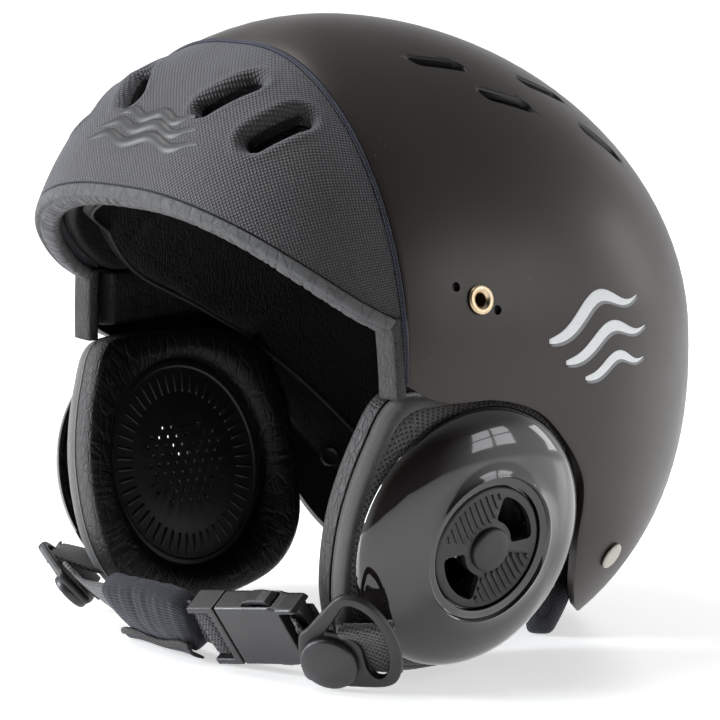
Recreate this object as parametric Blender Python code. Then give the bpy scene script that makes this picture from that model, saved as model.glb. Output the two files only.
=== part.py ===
"""A water helmet: hard rear shell, fabric brow panel, padded ears with vented cups, chin strap.

Metres, +Z up. -Y is the front and +X is the wearer's left. The origin lies under the middle of
the helmet, on the surface that it stands on. Lengths in lists are in millimetres (see mm()).
"""
import math

import bmesh
import bpy
import numpy as np
from mathutils import Matrix, Vector

MM = 0.001
SIDES = ((1, "left"), (-1, "right"))

# The outside of the helmet is one rounded surface about this centre.
CENTRE_Y = -21.3 * MM                  # puts the middle of the helmet over the origin
SHELL_CENTRE = np.array([0.0, 0.0, 113 * MM])
SHELL_HALF_WIDTH = 103 * MM
SHELL_FRONT = 110.5 * MM
SHELL_REAR = 142 * MM
SHELL_TOP = 118 * MM
SHELL_BOTTOM = 135 * MM
FORWARD_LEAN = 0.06                  # the crown leans forward by this much per height
FRONT_POWER = 2.85                   # roundness of the outline from above: 2 is an ellipse
REAR_POWER = 2.3
TOP_POWER = 1.92                     # roundness of the outline from the side
BOTTOM_POWER = 2.3

SHELL_WALL = 3.2 * MM
BROW_WALL = 6 * MM
LINER_DEPTH = 12.5 * MM                # inner face of the foam liner, below the outer surface
BROW_COLUMNS = 29
SHELL_COLUMNS = 45
CROWN_ROWS = 9
SKIRT_ROWS = 5
LINER_COLUMNS = 36
LINER_ROWS = 7
SEAM_Y = -46 * MM                    # the plane where brow panel and shell meet
SEAM_HALF_GAP = 1.3 * MM
PIPING_RADIUS = 0.9 * MM

VENT_LENGTH, VENT_WIDTH = 23 * MM, 5.2 * MM
BROW_VENT_LENGTH, BROW_VENT_WIDTH = 27 * MM, 10 * MM

# Each ear assembly has its own frame: rearwards, up along the pad, and outwards.
EAR_CENTRE = (109, -13.5, 46.8)
EAR_TILT = math.radians(12)          # the pads narrow towards the chin
WINDOW_ANGLES = (5, 78)              # degrees, one window; the other lies opposite

STRAP_WIDTH = 20 * MM
STRAP_THICK = 1.6 * MM
TAB_WIDTH = 17 * MM
STRAP_TILT = math.radians(33)        # the strap's face looks forward and down,
FAR_TILT = math.radians(48)          # more so towards the right adjuster
STRAP_HINGE = (0, -64.5, 41)         # lateral axis through the roots of both mesh tabs


def mm(values):
    """Millimetres to metres, as an array."""
    return np.array(values, float) * MM


def clear_scene():
    for old in list(bpy.data.objects):
        bpy.data.objects.remove(old, do_unlink=True)


def make_material(name, colour, roughness, metallic=0.0):
    material = bpy.data.materials.new(name)
    material.use_nodes = True
    shader = material.node_tree.nodes["Principled BSDF"]
    shader.inputs["Base Color"].default_value = (*colour, 1.0)
    shader.inputs["Roughness"].default_value = roughness
    shader.inputs["Metallic"].default_value = metallic
    return material


def make_materials():
    return {
        "shell": make_material("matte_shell", (0.035, 0.030, 0.027), 0.45),
        "brow": make_material("brow_fabric", (0.075, 0.080, 0.095), 0.8),
        "piping": make_material("blue_piping", (0.10, 0.12, 0.20), 0.5),
        "trim": make_material("grey_leather", (0.20, 0.20, 0.21), 0.6),
        "leather": make_material("black_leather", (0.018, 0.016, 0.016), 0.5),
        "foam": make_material("brown_foam", (0.085, 0.070, 0.062), 0.95),
        "mesh": make_material("black_mesh", (0.035, 0.032, 0.030), 0.9),
        "cup": make_material("smoked_cup", (0.030, 0.025, 0.024), 0.12),
        "plastic": make_material("black_plastic", (0.045, 0.045, 0.050), 0.4),
        "webbing": make_material("black_webbing", (0.028, 0.027, 0.030), 0.85),
        "ribbed": make_material("ribbed_knit", (0.035, 0.038, 0.055), 0.9),
        "brass": make_material("brass", (0.62, 0.48, 0.30), 0.3, 1.0),
        "rivet": make_material("painted_rivet", (0.70, 0.68, 0.64), 0.4),
    }


# ---- curves and surfaces ----

def shell_surface(points, offset=0.0):
    """Move points along their rays from the shell centre until they lie `offset` off the shell."""
    rays = np.asarray(points, float) - SHELL_CENTRE
    x = np.abs(rays[..., 0])
    z = rays[..., 2]
    y = rays[..., 1] + FORWARD_LEAN * z
    in_front = y < 0
    above = z > 0
    length = np.where(in_front, SHELL_FRONT, SHELL_REAR) + offset
    plan_power = np.where(in_front, FRONT_POWER, REAR_POWER)
    wide = (x / (SHELL_HALF_WIDTH + offset)) ** plan_power
    plan = (wide + np.abs(y / length) ** plan_power) ** (1 / plan_power)
    height = np.where(above, SHELL_TOP, SHELL_BOTTOM) + offset
    side_power = np.where(above, TOP_POWER, BOTTOM_POWER)
    reach = (plan ** side_power + np.abs(z / height) ** side_power) ** (-1 / side_power)
    return SHELL_CENTRE + rays * reach[..., None]


def shell_normal(point):
    """Outward direction of the shell's surface at a point on it."""
    outer = shell_surface(point, 1 * MM)
    step = 0.5 * MM
    ray = Vector(point - SHELL_CENTRE)
    across = Vector((1, 0, 0)).cross(ray).normalized()
    along = ray.cross(across).normalized()
    here = Vector(shell_surface(outer))
    a = Vector(shell_surface(np.array(Vector(outer) + across * step))) - here
    b = Vector(shell_surface(np.array(Vector(outer) + along * step))) - here
    normal = a.cross(b).normalized()
    return normal if normal.dot(ray) > 0 else -normal


def smooth_line(points, count, closed=False):
    """`count` evenly spaced points on a smooth curve through the given points."""
    points = [np.asarray(p, float) for p in points]
    if closed:
        knots = [points[-1]] + points + points[:2]
    else:
        knots = [2 * points[0] - points[1]] + points + [2 * points[-1] - points[-2]]
    fine = []
    for a, b, c, d in zip(knots, knots[1:], knots[2:], knots[3:]):
        for t in np.linspace(0, 1, 12, endpoint=False):
            fine.append(0.5 * (2 * b + (c - a) * t + (2 * a - 5 * b + 4 * c - d) * t ** 2
                               + (3 * b - a - 3 * c + d) * t ** 3))
    fine = np.array(fine + [points[0] if closed else points[-1]])
    travelled = np.concatenate([[0], np.cumsum(np.linalg.norm(np.diff(fine, axis=0), axis=1))])
    stations = np.linspace(0, travelled[-1], count, endpoint=not closed)
    return np.stack([np.interp(stations, travelled, fine[:, k]) for k in range(3)], axis=1)


def mirrored(points):
    """The points, then their mirror images back across the middle, as one symmetric line."""
    points = [tuple(p) for p in points]
    return points + [(-x, y, z) for x, y, z in reversed(points) if abs(x) > 1e-9]


def seam_line(y, lowest, count):
    """Where the plane at y cuts the shell, from the left temple over the crown to the right."""
    start = math.acos((lowest - SHELL_CENTRE[2]) / SHELL_TOP)
    line = []
    for turn in np.linspace(start, -start, count * 3):
        point = SHELL_CENTRE + np.array([SHELL_HALF_WIDTH * math.sin(turn), y,
                                         SHELL_TOP * math.cos(turn)])
        for _ in range(12):
            point = shell_surface(point)
            point[1] = y
        line.append(point)
    line[0][2] = lowest
    line[-1][2] = lowest
    return smooth_line(line, count)


def fan(first, last, rows):
    """Rows of points that sweep from one line to another around the shell centre."""
    a = first - SHELL_CENTRE
    b = last - SHELL_CENTRE
    a = a / np.linalg.norm(a, axis=1)[:, None]
    b = b / np.linalg.norm(b, axis=1)[:, None]
    angle = np.arccos(np.clip((a * b).sum(axis=1), -1, 1))
    angle = np.maximum(angle, 1e-6)[:, None]
    grid = []
    for mix in np.linspace(0, 1, rows + 1):
        ray = (np.sin((1 - mix) * angle) * a + np.sin(mix * angle) * b) / np.sin(angle)
        grid.append(SHELL_CENTRE + 100 * MM * ray)
    return np.array(grid)


# ---- meshes ----

def mesh_object(name, vertices, faces, material, parent, origin=(0, 0, 0)):
    """A closed body in helmet coordinates, hung on a parent that sits at `origin`."""
    mesh = bpy.data.meshes.new(name)
    body = bmesh.new()
    corners = [body.verts.new(Vector(v) - Vector(origin)) for v in vertices]
    for face in faces:
        if len(set(face)) > 2:
            body.faces.new([corners[i] for i in face])
    bmesh.ops.remove_doubles(body, verts=body.verts, dist=1e-6)
    loose = [edge for edge in body.edges if not edge.link_faces]
    bmesh.ops.delete(body, geom=loose, context="EDGES")
    bmesh.ops.recalc_face_normals(body, faces=body.faces)
    body.to_mesh(mesh)
    body.free()
    mesh.shade_smooth()
    mesh.set_sharp_from_angle(angle=math.radians(35))
    mesh.materials.append(material)
    placed = bpy.data.objects.new(name, mesh)
    bpy.context.scene.collection.objects.link(placed)
    placed.parent = parent
    return placed


def empty(name, parent=None, location=(0, 0, 0), rotation=None):
    marker = bpy.data.objects.new(name, None)
    bpy.context.scene.collection.objects.link(marker)
    marker.parent = parent
    marker.location = location
    if rotation is not None:
        marker.rotation_euler = rotation.to_euler()
    return marker


def two_sided(top, bottom, wraps=False):
    """Vertices and faces of the closed body between two grids of points."""
    rows, columns = top.shape[:2]
    vertices = np.concatenate([top.reshape(-1, 3), bottom.reshape(-1, 3)])
    below = rows * columns
    faces = []
    for r in range(rows - 1):
        for c in range(columns if wraps else columns - 1):
            n = (c + 1) % columns
            quad = (r * columns + c, r * columns + n, (r + 1) * columns + n, (r + 1) * columns + c)
            faces.append(quad)
            faces.append(tuple(below + i for i in reversed(quad)))
    rims = [[(r * columns + c) for c in range(columns)] for r in (0, rows - 1)]
    if wraps:
        rims = [rim + rim[:1] for rim in rims]
    else:
        rims += [[r * columns + c for r in range(rows)] for c in (0, columns - 1)]
    for rim in rims:
        for a, b in zip(rim, rim[1:]):
            faces.append((a, b, below + b, below + a))
    return vertices, faces


def layer(name, grid, outer, inner, material, parent, wraps=False):
    """A layer of the helmet between two depths under the outer surface."""
    vertices, faces = two_sided(shell_surface(grid, outer), shell_surface(grid, inner), wraps)
    return mesh_object(name, vertices, faces, material, parent)


def skin(sections, closed=False):
    """Vertices and faces of the body through a row of sections with equal point counts."""
    sections = np.asarray(sections, float)
    count, around = sections.shape[:2]
    faces = []
    for s in range(count if closed else count - 1):
        ahead = (s + 1) % count
        for k in range(around):
            n = (k + 1) % around
            faces.append((s * around + k, s * around + n, ahead * around + n, ahead * around + k))
    if not closed:
        faces.append(tuple(range(around)))
        faces.append(tuple(range((count - 1) * around, count * around)))
    return sections.reshape(-1, 3), faces


def turned(profile, segments, hole=True):
    """Turn a profile of (radius, height) about local Z; with a hole, the profile is a loop."""
    profile = np.array(profile, float)
    sections = []
    for turn in np.linspace(0, 2 * math.pi, segments, endpoint=False):
        sections.append(np.stack([profile[:, 0] * math.cos(turn), profile[:, 0] * math.sin(turn),
                                  profile[:, 1]], axis=1))
    if hole:
        return skin(sections, closed=True)
    sections = np.array(sections)
    around = len(profile)
    faces = []
    for s in range(segments):
        ahead = (s + 1) % segments
        for k in range(around - 1):
            faces.append((s * around + k, s * around + k + 1, ahead * around + k + 1,
                          ahead * around + k))
    return sections.reshape(-1, 3), faces


def plate(outline, bottom, top, hole=None):
    """A flat plate with an outline in local X and Y, and one hole of the same point count."""
    outline = np.array(outline, float)

    def ring(points, height):
        return np.column_stack([points, np.full(len(points), height)])
    if hole is None:
        return skin([ring(outline, bottom), ring(outline, top)])
    hole = np.array(hole, float)
    loop = [ring(outline, bottom), ring(outline, top), ring(hole, top), ring(hole, bottom)]
    return skin(np.swapaxes(np.array(loop), 0, 1), closed=True)


def in_frame(vertices, centre, axes):
    """Local X, Y, Z coordinates to helmet coordinates."""
    return np.asarray(centre) + np.asarray(vertices) @ np.asarray(axes)


def capsule(length, width, slant=0.0, corners=4):
    """Outline of a slot with round ends, whose ends lean by `slant` across its width."""
    half = (length - width) / 2
    outline = []
    for end in (1, -1):
        for turn in np.linspace(-math.pi / 2, math.pi / 2, corners):
            x = end * (half + width / 2 * math.cos(turn))
            y = end * width / 2 * math.sin(turn)
            outline.append((x + slant * y, y))
    return outline


def circle(radius, count):
    turns = np.linspace(0, 2 * math.pi, count, endpoint=False)
    return [(radius * math.cos(t), radius * math.sin(t)) for t in turns]


def joined(bodies):
    """Several bodies as one list of vertices and faces."""
    vertices, faces, start = [], [], 0
    for body_vertices, body_faces in bodies:
        vertices.append(np.asarray(body_vertices, float))
        faces += [tuple(start + i for i in face) for face in body_faces]
        start += len(body_vertices)
    return np.concatenate(vertices), faces


def cut(target, tool, operation="DIFFERENCE"):
    """Cut a guide body out of the target, or join it on with UNION."""
    tool.hide_render = True
    tool.display_type = "WIRE"
    change = target.modifiers.new(tool.name, "BOOLEAN")
    change.operation = operation
    change.solver = "EXACT"
    change.object = tool


def surface_prism(point, along, outline, bottom, top):
    """A prism whose outline lies on the shell at a point, with its length roughly `along`."""
    point = shell_surface(np.array(point, float))
    out = shell_normal(point)
    length = (Vector(along) - out * Vector(along).dot(out)).normalized()
    across = out.cross(length)
    vertices, faces = plate(outline, bottom, top)
    return in_frame(vertices, point, [length, across, out]), faces


# ---- shell, brow and liners ----

def shell_rim():
    """Lower edge of the shell: temple corner, over the ear, down behind it, round the rear."""
    half = mm([(100.4, -44.7, 107), (101.4, -36, 102.2), (102, -26, 99.9), (102.7, -7, 99.3),
               (102.2, 12.5, 93.2), (100.4, 27.6, 80), (97.5, 37.5, 67), (95, 41, 56),
               (89, 43, 40), (78, 52, 20), (66, 66, 6), (55, 76, 2.6), (38, 90, 4.5),
               (18, 99, 7.5), (0, 102, 8.5)])
    return smooth_line(mirrored(half), SHELL_COLUMNS)


def make_shell(materials, helmet):
    seam = seam_line(SEAM_Y + SEAM_HALF_GAP, 107 * MM, SHELL_COLUMNS)
    rim = shell_rim()
    rim[0] = seam[0]
    rim[-1] = seam[-1]
    half = mm([(100.4, -44.7, 107), (102, -30, 112), (103, -5, 122), (103, 25, 125), (100, 55, 118),
               (92, 85, 108), (75, 110, 100), (45, 130, 95), (0, 141, 92)])
    widest = smooth_line(mirrored(half), SHELL_COLUMNS)
    widest[0] = seam[0]
    widest[-1] = seam[-1]
    grid = np.concatenate([fan(seam, widest, CROWN_ROWS), fan(widest, rim, SKIRT_ROWS)[1:]])
    return layer("outer_shell", grid, 0.0, -SHELL_WALL, materials["shell"], helmet)


def brow_edge(count):
    """Lower edge of the brow panel, from the left temple to the right."""
    half = mm([(98.8, -47.3, 130.5), (93, -61, 138.4), (80.5, -77.5, 151.6), (65.2, -87.6, 161.3),
               (44.8, -94.3, 168.4), (23, -96.6, 172), (0, -97, 172.8)])
    return shell_surface(smooth_line(mirrored(half), count))


def make_brow(materials, helmet):
    seam = seam_line(SEAM_Y - SEAM_HALF_GAP, 130.5 * MM, BROW_COLUMNS)
    edge = brow_edge(BROW_COLUMNS)
    edge[0] = seam[0]
    edge[-1] = seam[-1]
    return layer("brow_panel", fan(seam, edge, 6), 0.0, -BROW_WALL, materials["brow"], helmet)


def edge_frames(line):
    """Tangent, outward and downward directions along an edge on the shell."""
    tangents = np.gradient(line, axis=0)
    frames = []
    for point, tangent in zip(line, tangents):
        tangent = Vector(tangent).normalized()
        out = shell_normal(point)
        out = (out - tangent * out.dot(tangent)).normalized()
        down = tangent.cross(out)
        if down.z > 0:
            down = -down
        frames.append((tangent, out, down))
    return frames


def make_trim(materials, helmet):
    """Leather band that closes the lower edge of the brow panel and the liner behind it."""
    line = brow_edge(BROW_COLUMNS)[1:-1]
    profile = mm([(-9.2, 1.4), (-9.2, 4.2), (-7.5, 5.6), (-1.2, 5.6), (0.6, 4.2), (0.6, 1.4),
                  (-0.4, 0.8), (-8.6, 0.8)])
    sections = []
    for point, (tangent, out, down) in zip(line, edge_frames(line)):
        sections.append([point + np.array(out) * o + np.array(down) * d for o, d in profile])
    vertices, faces = skin(sections)
    return mesh_object("brow_edge_trim", vertices, faces, materials["trim"], helmet)


def make_piping(materials, helmet):
    line = seam_line(SEAM_Y, 107.5 * MM, 53)
    sections = []
    for point, (tangent, out, down) in zip(line, edge_frames(line)):
        side = np.array(tangent.cross(out))
        ring = []
        for turn in np.linspace(0, 2 * math.pi, 6, endpoint=False):
            ring.append(point + np.array(out) * (PIPING_RADIUS * math.cos(turn) - 0.3 * MM)
                        + side * PIPING_RADIUS * math.sin(turn))
        sections.append(ring)
    vertices, faces = skin(sections)
    return mesh_object("seam_piping", vertices, faces, materials["piping"], helmet)


def make_crown_liner(materials, helmet):
    half = mm([(0, -97, 174), (23, -96.6, 173.2), (44.8, -94.3, 169.6), (65.2, -87.6, 162.6),
               (80.5, -77.5, 153), (93, -61, 140), (99, -46, 132), (101, -25, 131.5),
               (102, 5, 131.5), (100, 50, 131.5), (88, 95, 131.5), (60, 126, 131.5),
               (30, 138, 131.5), (0, 141, 131.5)])
    loop = list(half) + [(-x, y, z) for x, y, z in reversed(half[1:-1])]
    rim = shell_surface(smooth_line(loop, LINER_COLUMNS, closed=True))
    crown = np.repeat((SHELL_CENTRE + [0, -8 * MM, 100 * MM])[None, :], LINER_COLUMNS, axis=0)
    return layer("crown_liner", fan(crown, rim, LINER_ROWS), -BROW_WALL - 1 * MM, -LINER_DEPTH,
                 materials["leather"], helmet, wraps=True)


def make_brow_band(materials, helmet):
    top = mm([(94, -48, 152), (82, -68, 166), (60, -82, 179), (30, -88, 186), (0, -90, 188)])
    low = mm([(98, -45, 136), (84, -72, 153), (62, -87, 166), (30, -94, 174.5), (0, -95, 176)])
    grid = fan(smooth_line(mirrored(top), 25), smooth_line(mirrored(low), 25), 2)
    return layer("brow_fit_band", grid, -LINER_DEPTH - 1.5 * MM, -LINER_DEPTH - 5 * MM,
                 materials["leather"], helmet)


def make_side_liners(materials, helmet):
    """Leather pad at each temple, between the crown liner and the ear pad."""
    for side, tag in SIDES:
        top = smooth_line(mm([(side * 98, -46, 130.8), (side * 101, -20, 130.8),
                              (side * 102, 10, 130.8), (side * 102, 28, 130.8)]), 9)
        low = smooth_line(mm([(side * 99.5, -45, 107.5), (side * 102, -22, 107.5),
                              (side * 103, 8, 107.5), (side * 102, 28, 100)]), 9)
        layer("side_liner_" + tag, fan(top, low, 3), -SHELL_WALL - 1.4 * MM, -LINER_DEPTH - 1 * MM,
              materials["leather"], helmet)


def make_rear_liner(materials, helmet):
    half_top = mm([(102, 29.5, 130.8), (96, 72, 130.8), (70, 118, 130.8), (34, 137, 130.8),
                   (0, 141, 130.8)])
    half_low = mm([(101.5, 29.5, 101), (95, 48, 56), (72, 80, 24), (40, 108, 24), (0, 120, 24)])
    grid = fan(smooth_line(mirrored(half_top), 25), smooth_line(mirrored(half_low), 25), 5)
    return layer("rear_liner", grid, -BROW_WALL - 1.2 * MM, -LINER_DEPTH - 1 * MM,
                 materials["leather"], helmet)


def make_neck_pad(materials, helmet):
    """Ribbed roll inside the lower rear edge; its underside is flat and carries the rear."""
    half = mm([(66.5, 50, 12), (57.5, 60, 12), (41.5, 75.5, 12), (22, 87, 12), (0, 91, 12)])
    line = smooth_line(mirrored(half), 25)
    tangents = np.gradient(line, axis=0)
    profile = mm([(-7, -12), (0.5, -12), (3.4, -7.5), (7, 0), (6.5, 6), (2, 10), (-5, 10),
                  (-8, 5), (-8.5, -6)])
    sections = []
    for point, tangent in zip(line, tangents):
        out = np.array([-tangent[1], tangent[0], 0.0])
        out = out / np.linalg.norm(out)
        if out @ (point - SHELL_CENTRE) < 0:
            out = -out
        sections.append([point + out * (u - 2.5 * MM) + np.array([0, 0, v]) for u, v in profile])
    vertices, faces = skin(sections)
    return mesh_object("neck_pad", vertices, faces, materials["ribbed"], helmet)


# ---- vents, inserts and rivets ----

INSERT_POINT = (100.6, -13.6, 135.4)
DIMPLE_POINTS = ((99.2, -23.3, 140.6), (101.3, -6.2, 131.3))
RIVET_POINT = (78.6, 69, 30.4)
SHELL_VENTS = (
    # centre of each slot, then the way its length runs
    ((48.5, 8.5, 214), (0.12, 1, -0.15)),
    ((62.3, 29.5, 201), (0.08, 1, -0.30)),
    ((49, 57, 202.5), (-0.06, 1, -0.35)),
    ((60.8, 76, 183), (0.0, 1, -0.65)),
)
BROW_VENTS = (
    ((28, -69, 205), (0.65, 0.78, 0.5)),
    ((54.6, -67.6, 194.2), (0.38, 0.93, 0.45)),
)


def flipped(point, side):
    return (side * point[0], point[1], point[2])


def make_cutters(helmet):
    shell_tools, brow_tools = [], []
    for side, _ in SIDES:
        for centre, along in SHELL_VENTS:
            outline = capsule(VENT_LENGTH, VENT_WIDTH, slant=-0.5 * side, corners=3)
            shell_tools.append(surface_prism(mm(flipped(centre, side)), flipped(along, side),
                                             outline, -22 * MM, 5 * MM))
        for centre, along in BROW_VENTS:
            outline = capsule(BROW_VENT_LENGTH, BROW_VENT_WIDTH)
            brow_tools.append(surface_prism(mm(flipped(centre, side)), flipped(along, side),
                                            outline, -22 * MM, 5 * MM))
        insert = mm(flipped(INSERT_POINT, side))
        shell_tools.append(surface_prism(insert, (0, 1, 0), circle(3.9 * MM, 12), -8 * MM,
                                         3 * MM))
        for dimple in DIMPLE_POINTS:
            shell_tools.append(surface_prism(mm(flipped(dimple, side)), (0, 1, 0),
                                             circle(1.75 * MM, 8), -2 * MM, 3 * MM))
        rivet = mm(flipped(RIVET_POINT, side))
        shell_tools.append(surface_prism(rivet, (0, 1, 0), circle(2.5 * MM, 12), -8 * MM, 3 * MM))
    return (mesh_object("shell_cutter", *joined(shell_tools), None, helmet),
            mesh_object("brow_cutter", *joined(brow_tools), None, helmet))


def surface_turned(name, point, profile, segments, material, helmet, hole=True):
    """A turned piece set into the shell, with its axis along the shell's normal."""
    point = shell_surface(mm(point))
    out = shell_normal(point)
    length = (Vector((0, 1, 0)) - out * out.y).normalized()
    vertices, faces = turned(mm(profile), segments, hole)
    vertices = in_frame(vertices, point, [length, out.cross(length), out])
    return mesh_object(name, vertices, faces, material, helmet)


def make_fasteners(materials, helmet):
    insert = [(2.3, -7.4), (3.5, -7.4), (3.5, 0.35), (5.3, 0.35), (5.3, 1.0), (4.8, 1.3),
              (2.3, 1.3)]
    rivet = [(0, -6.4), (2.1, -6.4), (2.1, 0.4), (5.2, 0.4), (5.2, 1.0), (4.4, 1.5), (0, 1.7)]
    washer = [(2.5, -6.1), (4.6, -6.1), (4.6, -4.9), (2.5, -4.9)]
    for side, tag in SIDES:
        surface_turned("temple_insert_" + tag, flipped(INSERT_POINT, side), insert, 16,
                       materials["brass"], helmet)
        surface_turned("rear_rivet_" + tag, flipped(RIVET_POINT, side), rivet, 16,
                       materials["rivet"], helmet, hole=False)
        surface_turned("rivet_washer_" + tag, flipped(RIVET_POINT, side), washer, 12,
                       materials["plastic"], helmet)


def make_snaps(materials, helmet):
    """Snap buttons that hold the rear liner's leather."""
    depth = -(LINER_DEPTH + 2 * MM) / MM
    profile = [(0, depth - 0.5), (2.6, depth - 0.5), (2.6, depth - 0.4), (4.0, depth - 0.4),
               (4.0, depth - 1.6), (2.9, depth - 2.2), (2.4, depth - 1.4), (0, depth - 1.4)]
    for side, tag in SIDES:
        surface_turned("liner_snap_" + tag, (side * 90, 58, 42), profile, 10,
                       materials["plastic"], helmet, hole=False)


# ---- ears ----

def ear_axes(side):
    """Rearwards, up along the pad, and outwards, for one ear."""
    rear = (0.0, 1.0, 0.0)
    up = (side * math.sin(EAR_TILT), 0.0, math.cos(EAR_TILT))
    out = (side * math.cos(EAR_TILT), 0.0, -math.sin(EAR_TILT))
    return np.array([rear, up, out])


def ear_empty(side, tag, helmet):
    """The ear's frame: local Z points outwards along the vent rotor's axis, local Y up."""
    rear, up, out = (Vector(axis) for axis in ear_axes(side))
    turn = Matrix((up.cross(out), up, out)).transposed()
    return empty("ear_" + tag, helmet, Vector(mm(flipped(EAR_CENTRE, side))), turn)


def ear_object(name, body, side, material, ear):
    """A piece in ear coordinates (rear, up, out), in millimetres."""
    vertices, faces = body
    local = np.array(vertices, float) * [side, 1, 1]
    return mesh_object(name, local, faces, material, ear)


PAD_OUTLINE = ((-33, 50), (-42, 34), (-48, 12), (-49, -8), (-46.5, -26), (-40, -40), (-28, -49.5),
               (-8, -53.5), (14, -51), (32, -42), (43, -27), (48, -8), (49, 12), (46, 30),
               (36, 44), (15, 51), (-12, 52))
PAD_POINTS = 24


def pad_ring(side, loop, hole_width, hole_height):
    """A ring between an oval hole and the pad's outline; loop gives (share of way out, height)."""
    outline = smooth_line([(x, y, 0) for x, y in mm(PAD_OUTLINE)], PAD_POINTS, closed=True)
    lowest = -EAR_CENTRE[2] * MM
    sections = []
    for x, y, _ in outline:
        turn = math.atan2(y, x)
        inner = np.array([hole_width * math.cos(turn), hole_height * math.sin(turn)])
        section = []
        for share, height in loop:
            spot = inner * (1 - share) + np.array([x, y]) * share
            out = height * MM
            floor = (lowest + out * math.sin(EAR_TILT)) / math.cos(EAR_TILT)
            section.append((spot[0], max(spot[1], floor), out))
        sections.append(section)
    return skin(sections, closed=True)


def sector(inner, outer, first, last, steps=6):
    """Outline of a ring sector between two radii, angles in degrees."""
    turns = np.radians(np.linspace(first, last, steps))
    outline = [(outer * math.cos(t), outer * math.sin(t)) for t in turns]
    outline += [(inner * math.cos(t), inner * math.sin(t)) for t in reversed(turns)]
    return outline


def window_tools(bottom, top):
    """Prisms for the two opposite windows of the vent, in one guide body."""
    tools = []
    for half_turn in (0, 180):
        outline = sector(10.3 * MM, 19.6 * MM, WINDOW_ANGLES[0] + half_turn,
                         WINDOW_ANGLES[1] + half_turn)
        tools.append(plate(outline, bottom * MM, top * MM))
    return joined(tools)


def make_cup(side, tag, materials, ear):
    """Domed cup with a stepped recess; the floor of the recess has the two windows."""
    profile = [(47.8, -16), (47, -13), (43.8, -9.2), (37.4, -5.2), (27.4, -2.0), (26.8, -3.4),
               (23.6, -3.4), (23.6, -6.4), (3.1, -6.4), (3.1, -8.6), (26, -8.6), (37, -8.8),
               (45.2, -16)]
    cup = ear_object("ear_cup_" + tag, turned(mm(profile), 32), side, materials["cup"], ear)
    cut(cup, ear_object("cup_windows_" + tag, window_tools(-10, -5), side, None, ear))


def make_rotor(side, tag, materials, ear):
    disc = [(2.9, -6.0), (22.9, -6.0), (22.9, -4.2), (21.8, -3.5), (2.9, -3.5)]
    rotor = ear_object("vent_rotor_" + tag, turned(mm(disc), 32), side, materials["plastic"], ear)
    cut(rotor, ear_object("rotor_windows_" + tag, window_tools(-8, -2), side, None, ear))
    cap = [(0, -12), (2.5, -12), (2.5, -3.1), (8, -3.1), (8, -1.6), (7, -0.7), (0, -0.3)]
    ear_object("rotor_cap_" + tag, turned(mm(cap), 16, hole=False), side, materials["plastic"],
               ear)
    clip = [(2.85, -10.4), (6, -10.4), (6, -9.0), (2.85, -9.0)]
    ear_object("rotor_clip_" + tag, turned(mm(clip), 12), side, materials["brass"], ear)


def make_grille(side, tag, materials, ear):
    """Perforated oval plate between the ear and the cup."""
    outline = np.array(circle(35.2 * MM, 20)) * [1, 40.2 / 35.2]
    grille = ear_object("ear_grille_" + tag, plate(outline, -30.6 * MM, -29.0 * MM), side,
                        materials["plastic"], ear)
    tools = []
    for radius, count in ((7, 4), (15.5, 6)):
        for k in range(count):
            turn = 2 * math.pi * (k + 0.25) / count
            spot = [radius * MM * math.cos(turn), radius * MM * math.sin(turn), 0]
            vertices, faces = plate(circle(1.5 * MM, 6), -32 * MM, -27 * MM)
            tools.append((np.array(vertices) + spot, faces))
    cut(grille, ear_object("grille_holes_" + tag, joined(tools), side, None, ear))


def make_ears(materials, helmet):
    cover = [(0, -16.8), (0.58, -17.1), (0.85, -20.0), (0.97, -23.4), (0.97, -24.8),
             (0.83, -21.6), (0.56, -18.8), (0, -18.4)]
    foam = [(0, -18.9), (0.55, -19.4), (0.82, -22.3), (0.95, -25.8), (1.0, -27.2), (1.0, -28.6),
            (0.5, -28.6), (0, -28.6)]
    cushion = [(0.02, -29), (0.99, -29), (1.02, -31), (1.0, -35), (0.85, -37.6), (0.45, -38.8),
               (0.1, -37), (0.0, -33.5)]
    for side, tag in SIDES:
        ear = ear_empty(side, tag, helmet)
        ear_object("ear_pad_cover_" + tag, pad_ring(side, cover, 26 * MM, 26 * MM), side,
                   materials["mesh"], ear)
        ear_object("ear_pad_foam_" + tag, pad_ring(side, foam, 26 * MM, 26 * MM), side,
                   materials["foam"], ear)
        ear_object("ear_cushion_" + tag, pad_ring(side, cushion, 36 * MM, 41 * MM), side,
                   materials["leather"], ear)
        make_grille(side, tag, materials, ear)
        make_cup(side, tag, materials, ear)
        make_rotor(side, tag, materials, ear)


# ---- chin strap ----

def unit(vector):
    vector = np.asarray(vector, float)
    return vector / np.linalg.norm(vector)


# Each adjuster hangs its own way: its centre, its level axis away from the chin, its face.
ADJUSTERS = {
    1: ((86, -68, 11.8), (0.82, 0.56, 0.0), (0.50, -0.74, -0.43)),
    -1: ((-78.5, -65, 10.9), (-0.76, 0.65, 0.0), (-0.45, -0.55, -0.70)),
}


def adjuster_frame(side):
    """Centre of the disc, and the axes: level and away from the chin, in-plane up, outwards."""
    centre, away, face = ADJUSTERS[side]
    away = unit(away)
    face = np.array(face)
    face = unit(face - away * (face @ away))
    up = np.cross(face, away) * side
    return mm(centre), np.array([away, up, face])


RING_OUTLINE = ((-11, -8), (-11, 8), (-7, 13), (-1, 20), (5, 26.5), (9, 28), (16, 26), (22, 19),
                (26, 8), (25, -4), (20, -10), (8, -11.5), (-4, -11))
RING_HOLE = ((0, 12.6), (1, 13.6), (3, 16.5), (5.5, 20), (8, 23.5), (12, 23.8), (17.5, 19.5),
             (21.5, 10), (21, -2), (17.5, -6.5), (13, -4), (11.5, 6.5), (6, 11.5))


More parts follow.
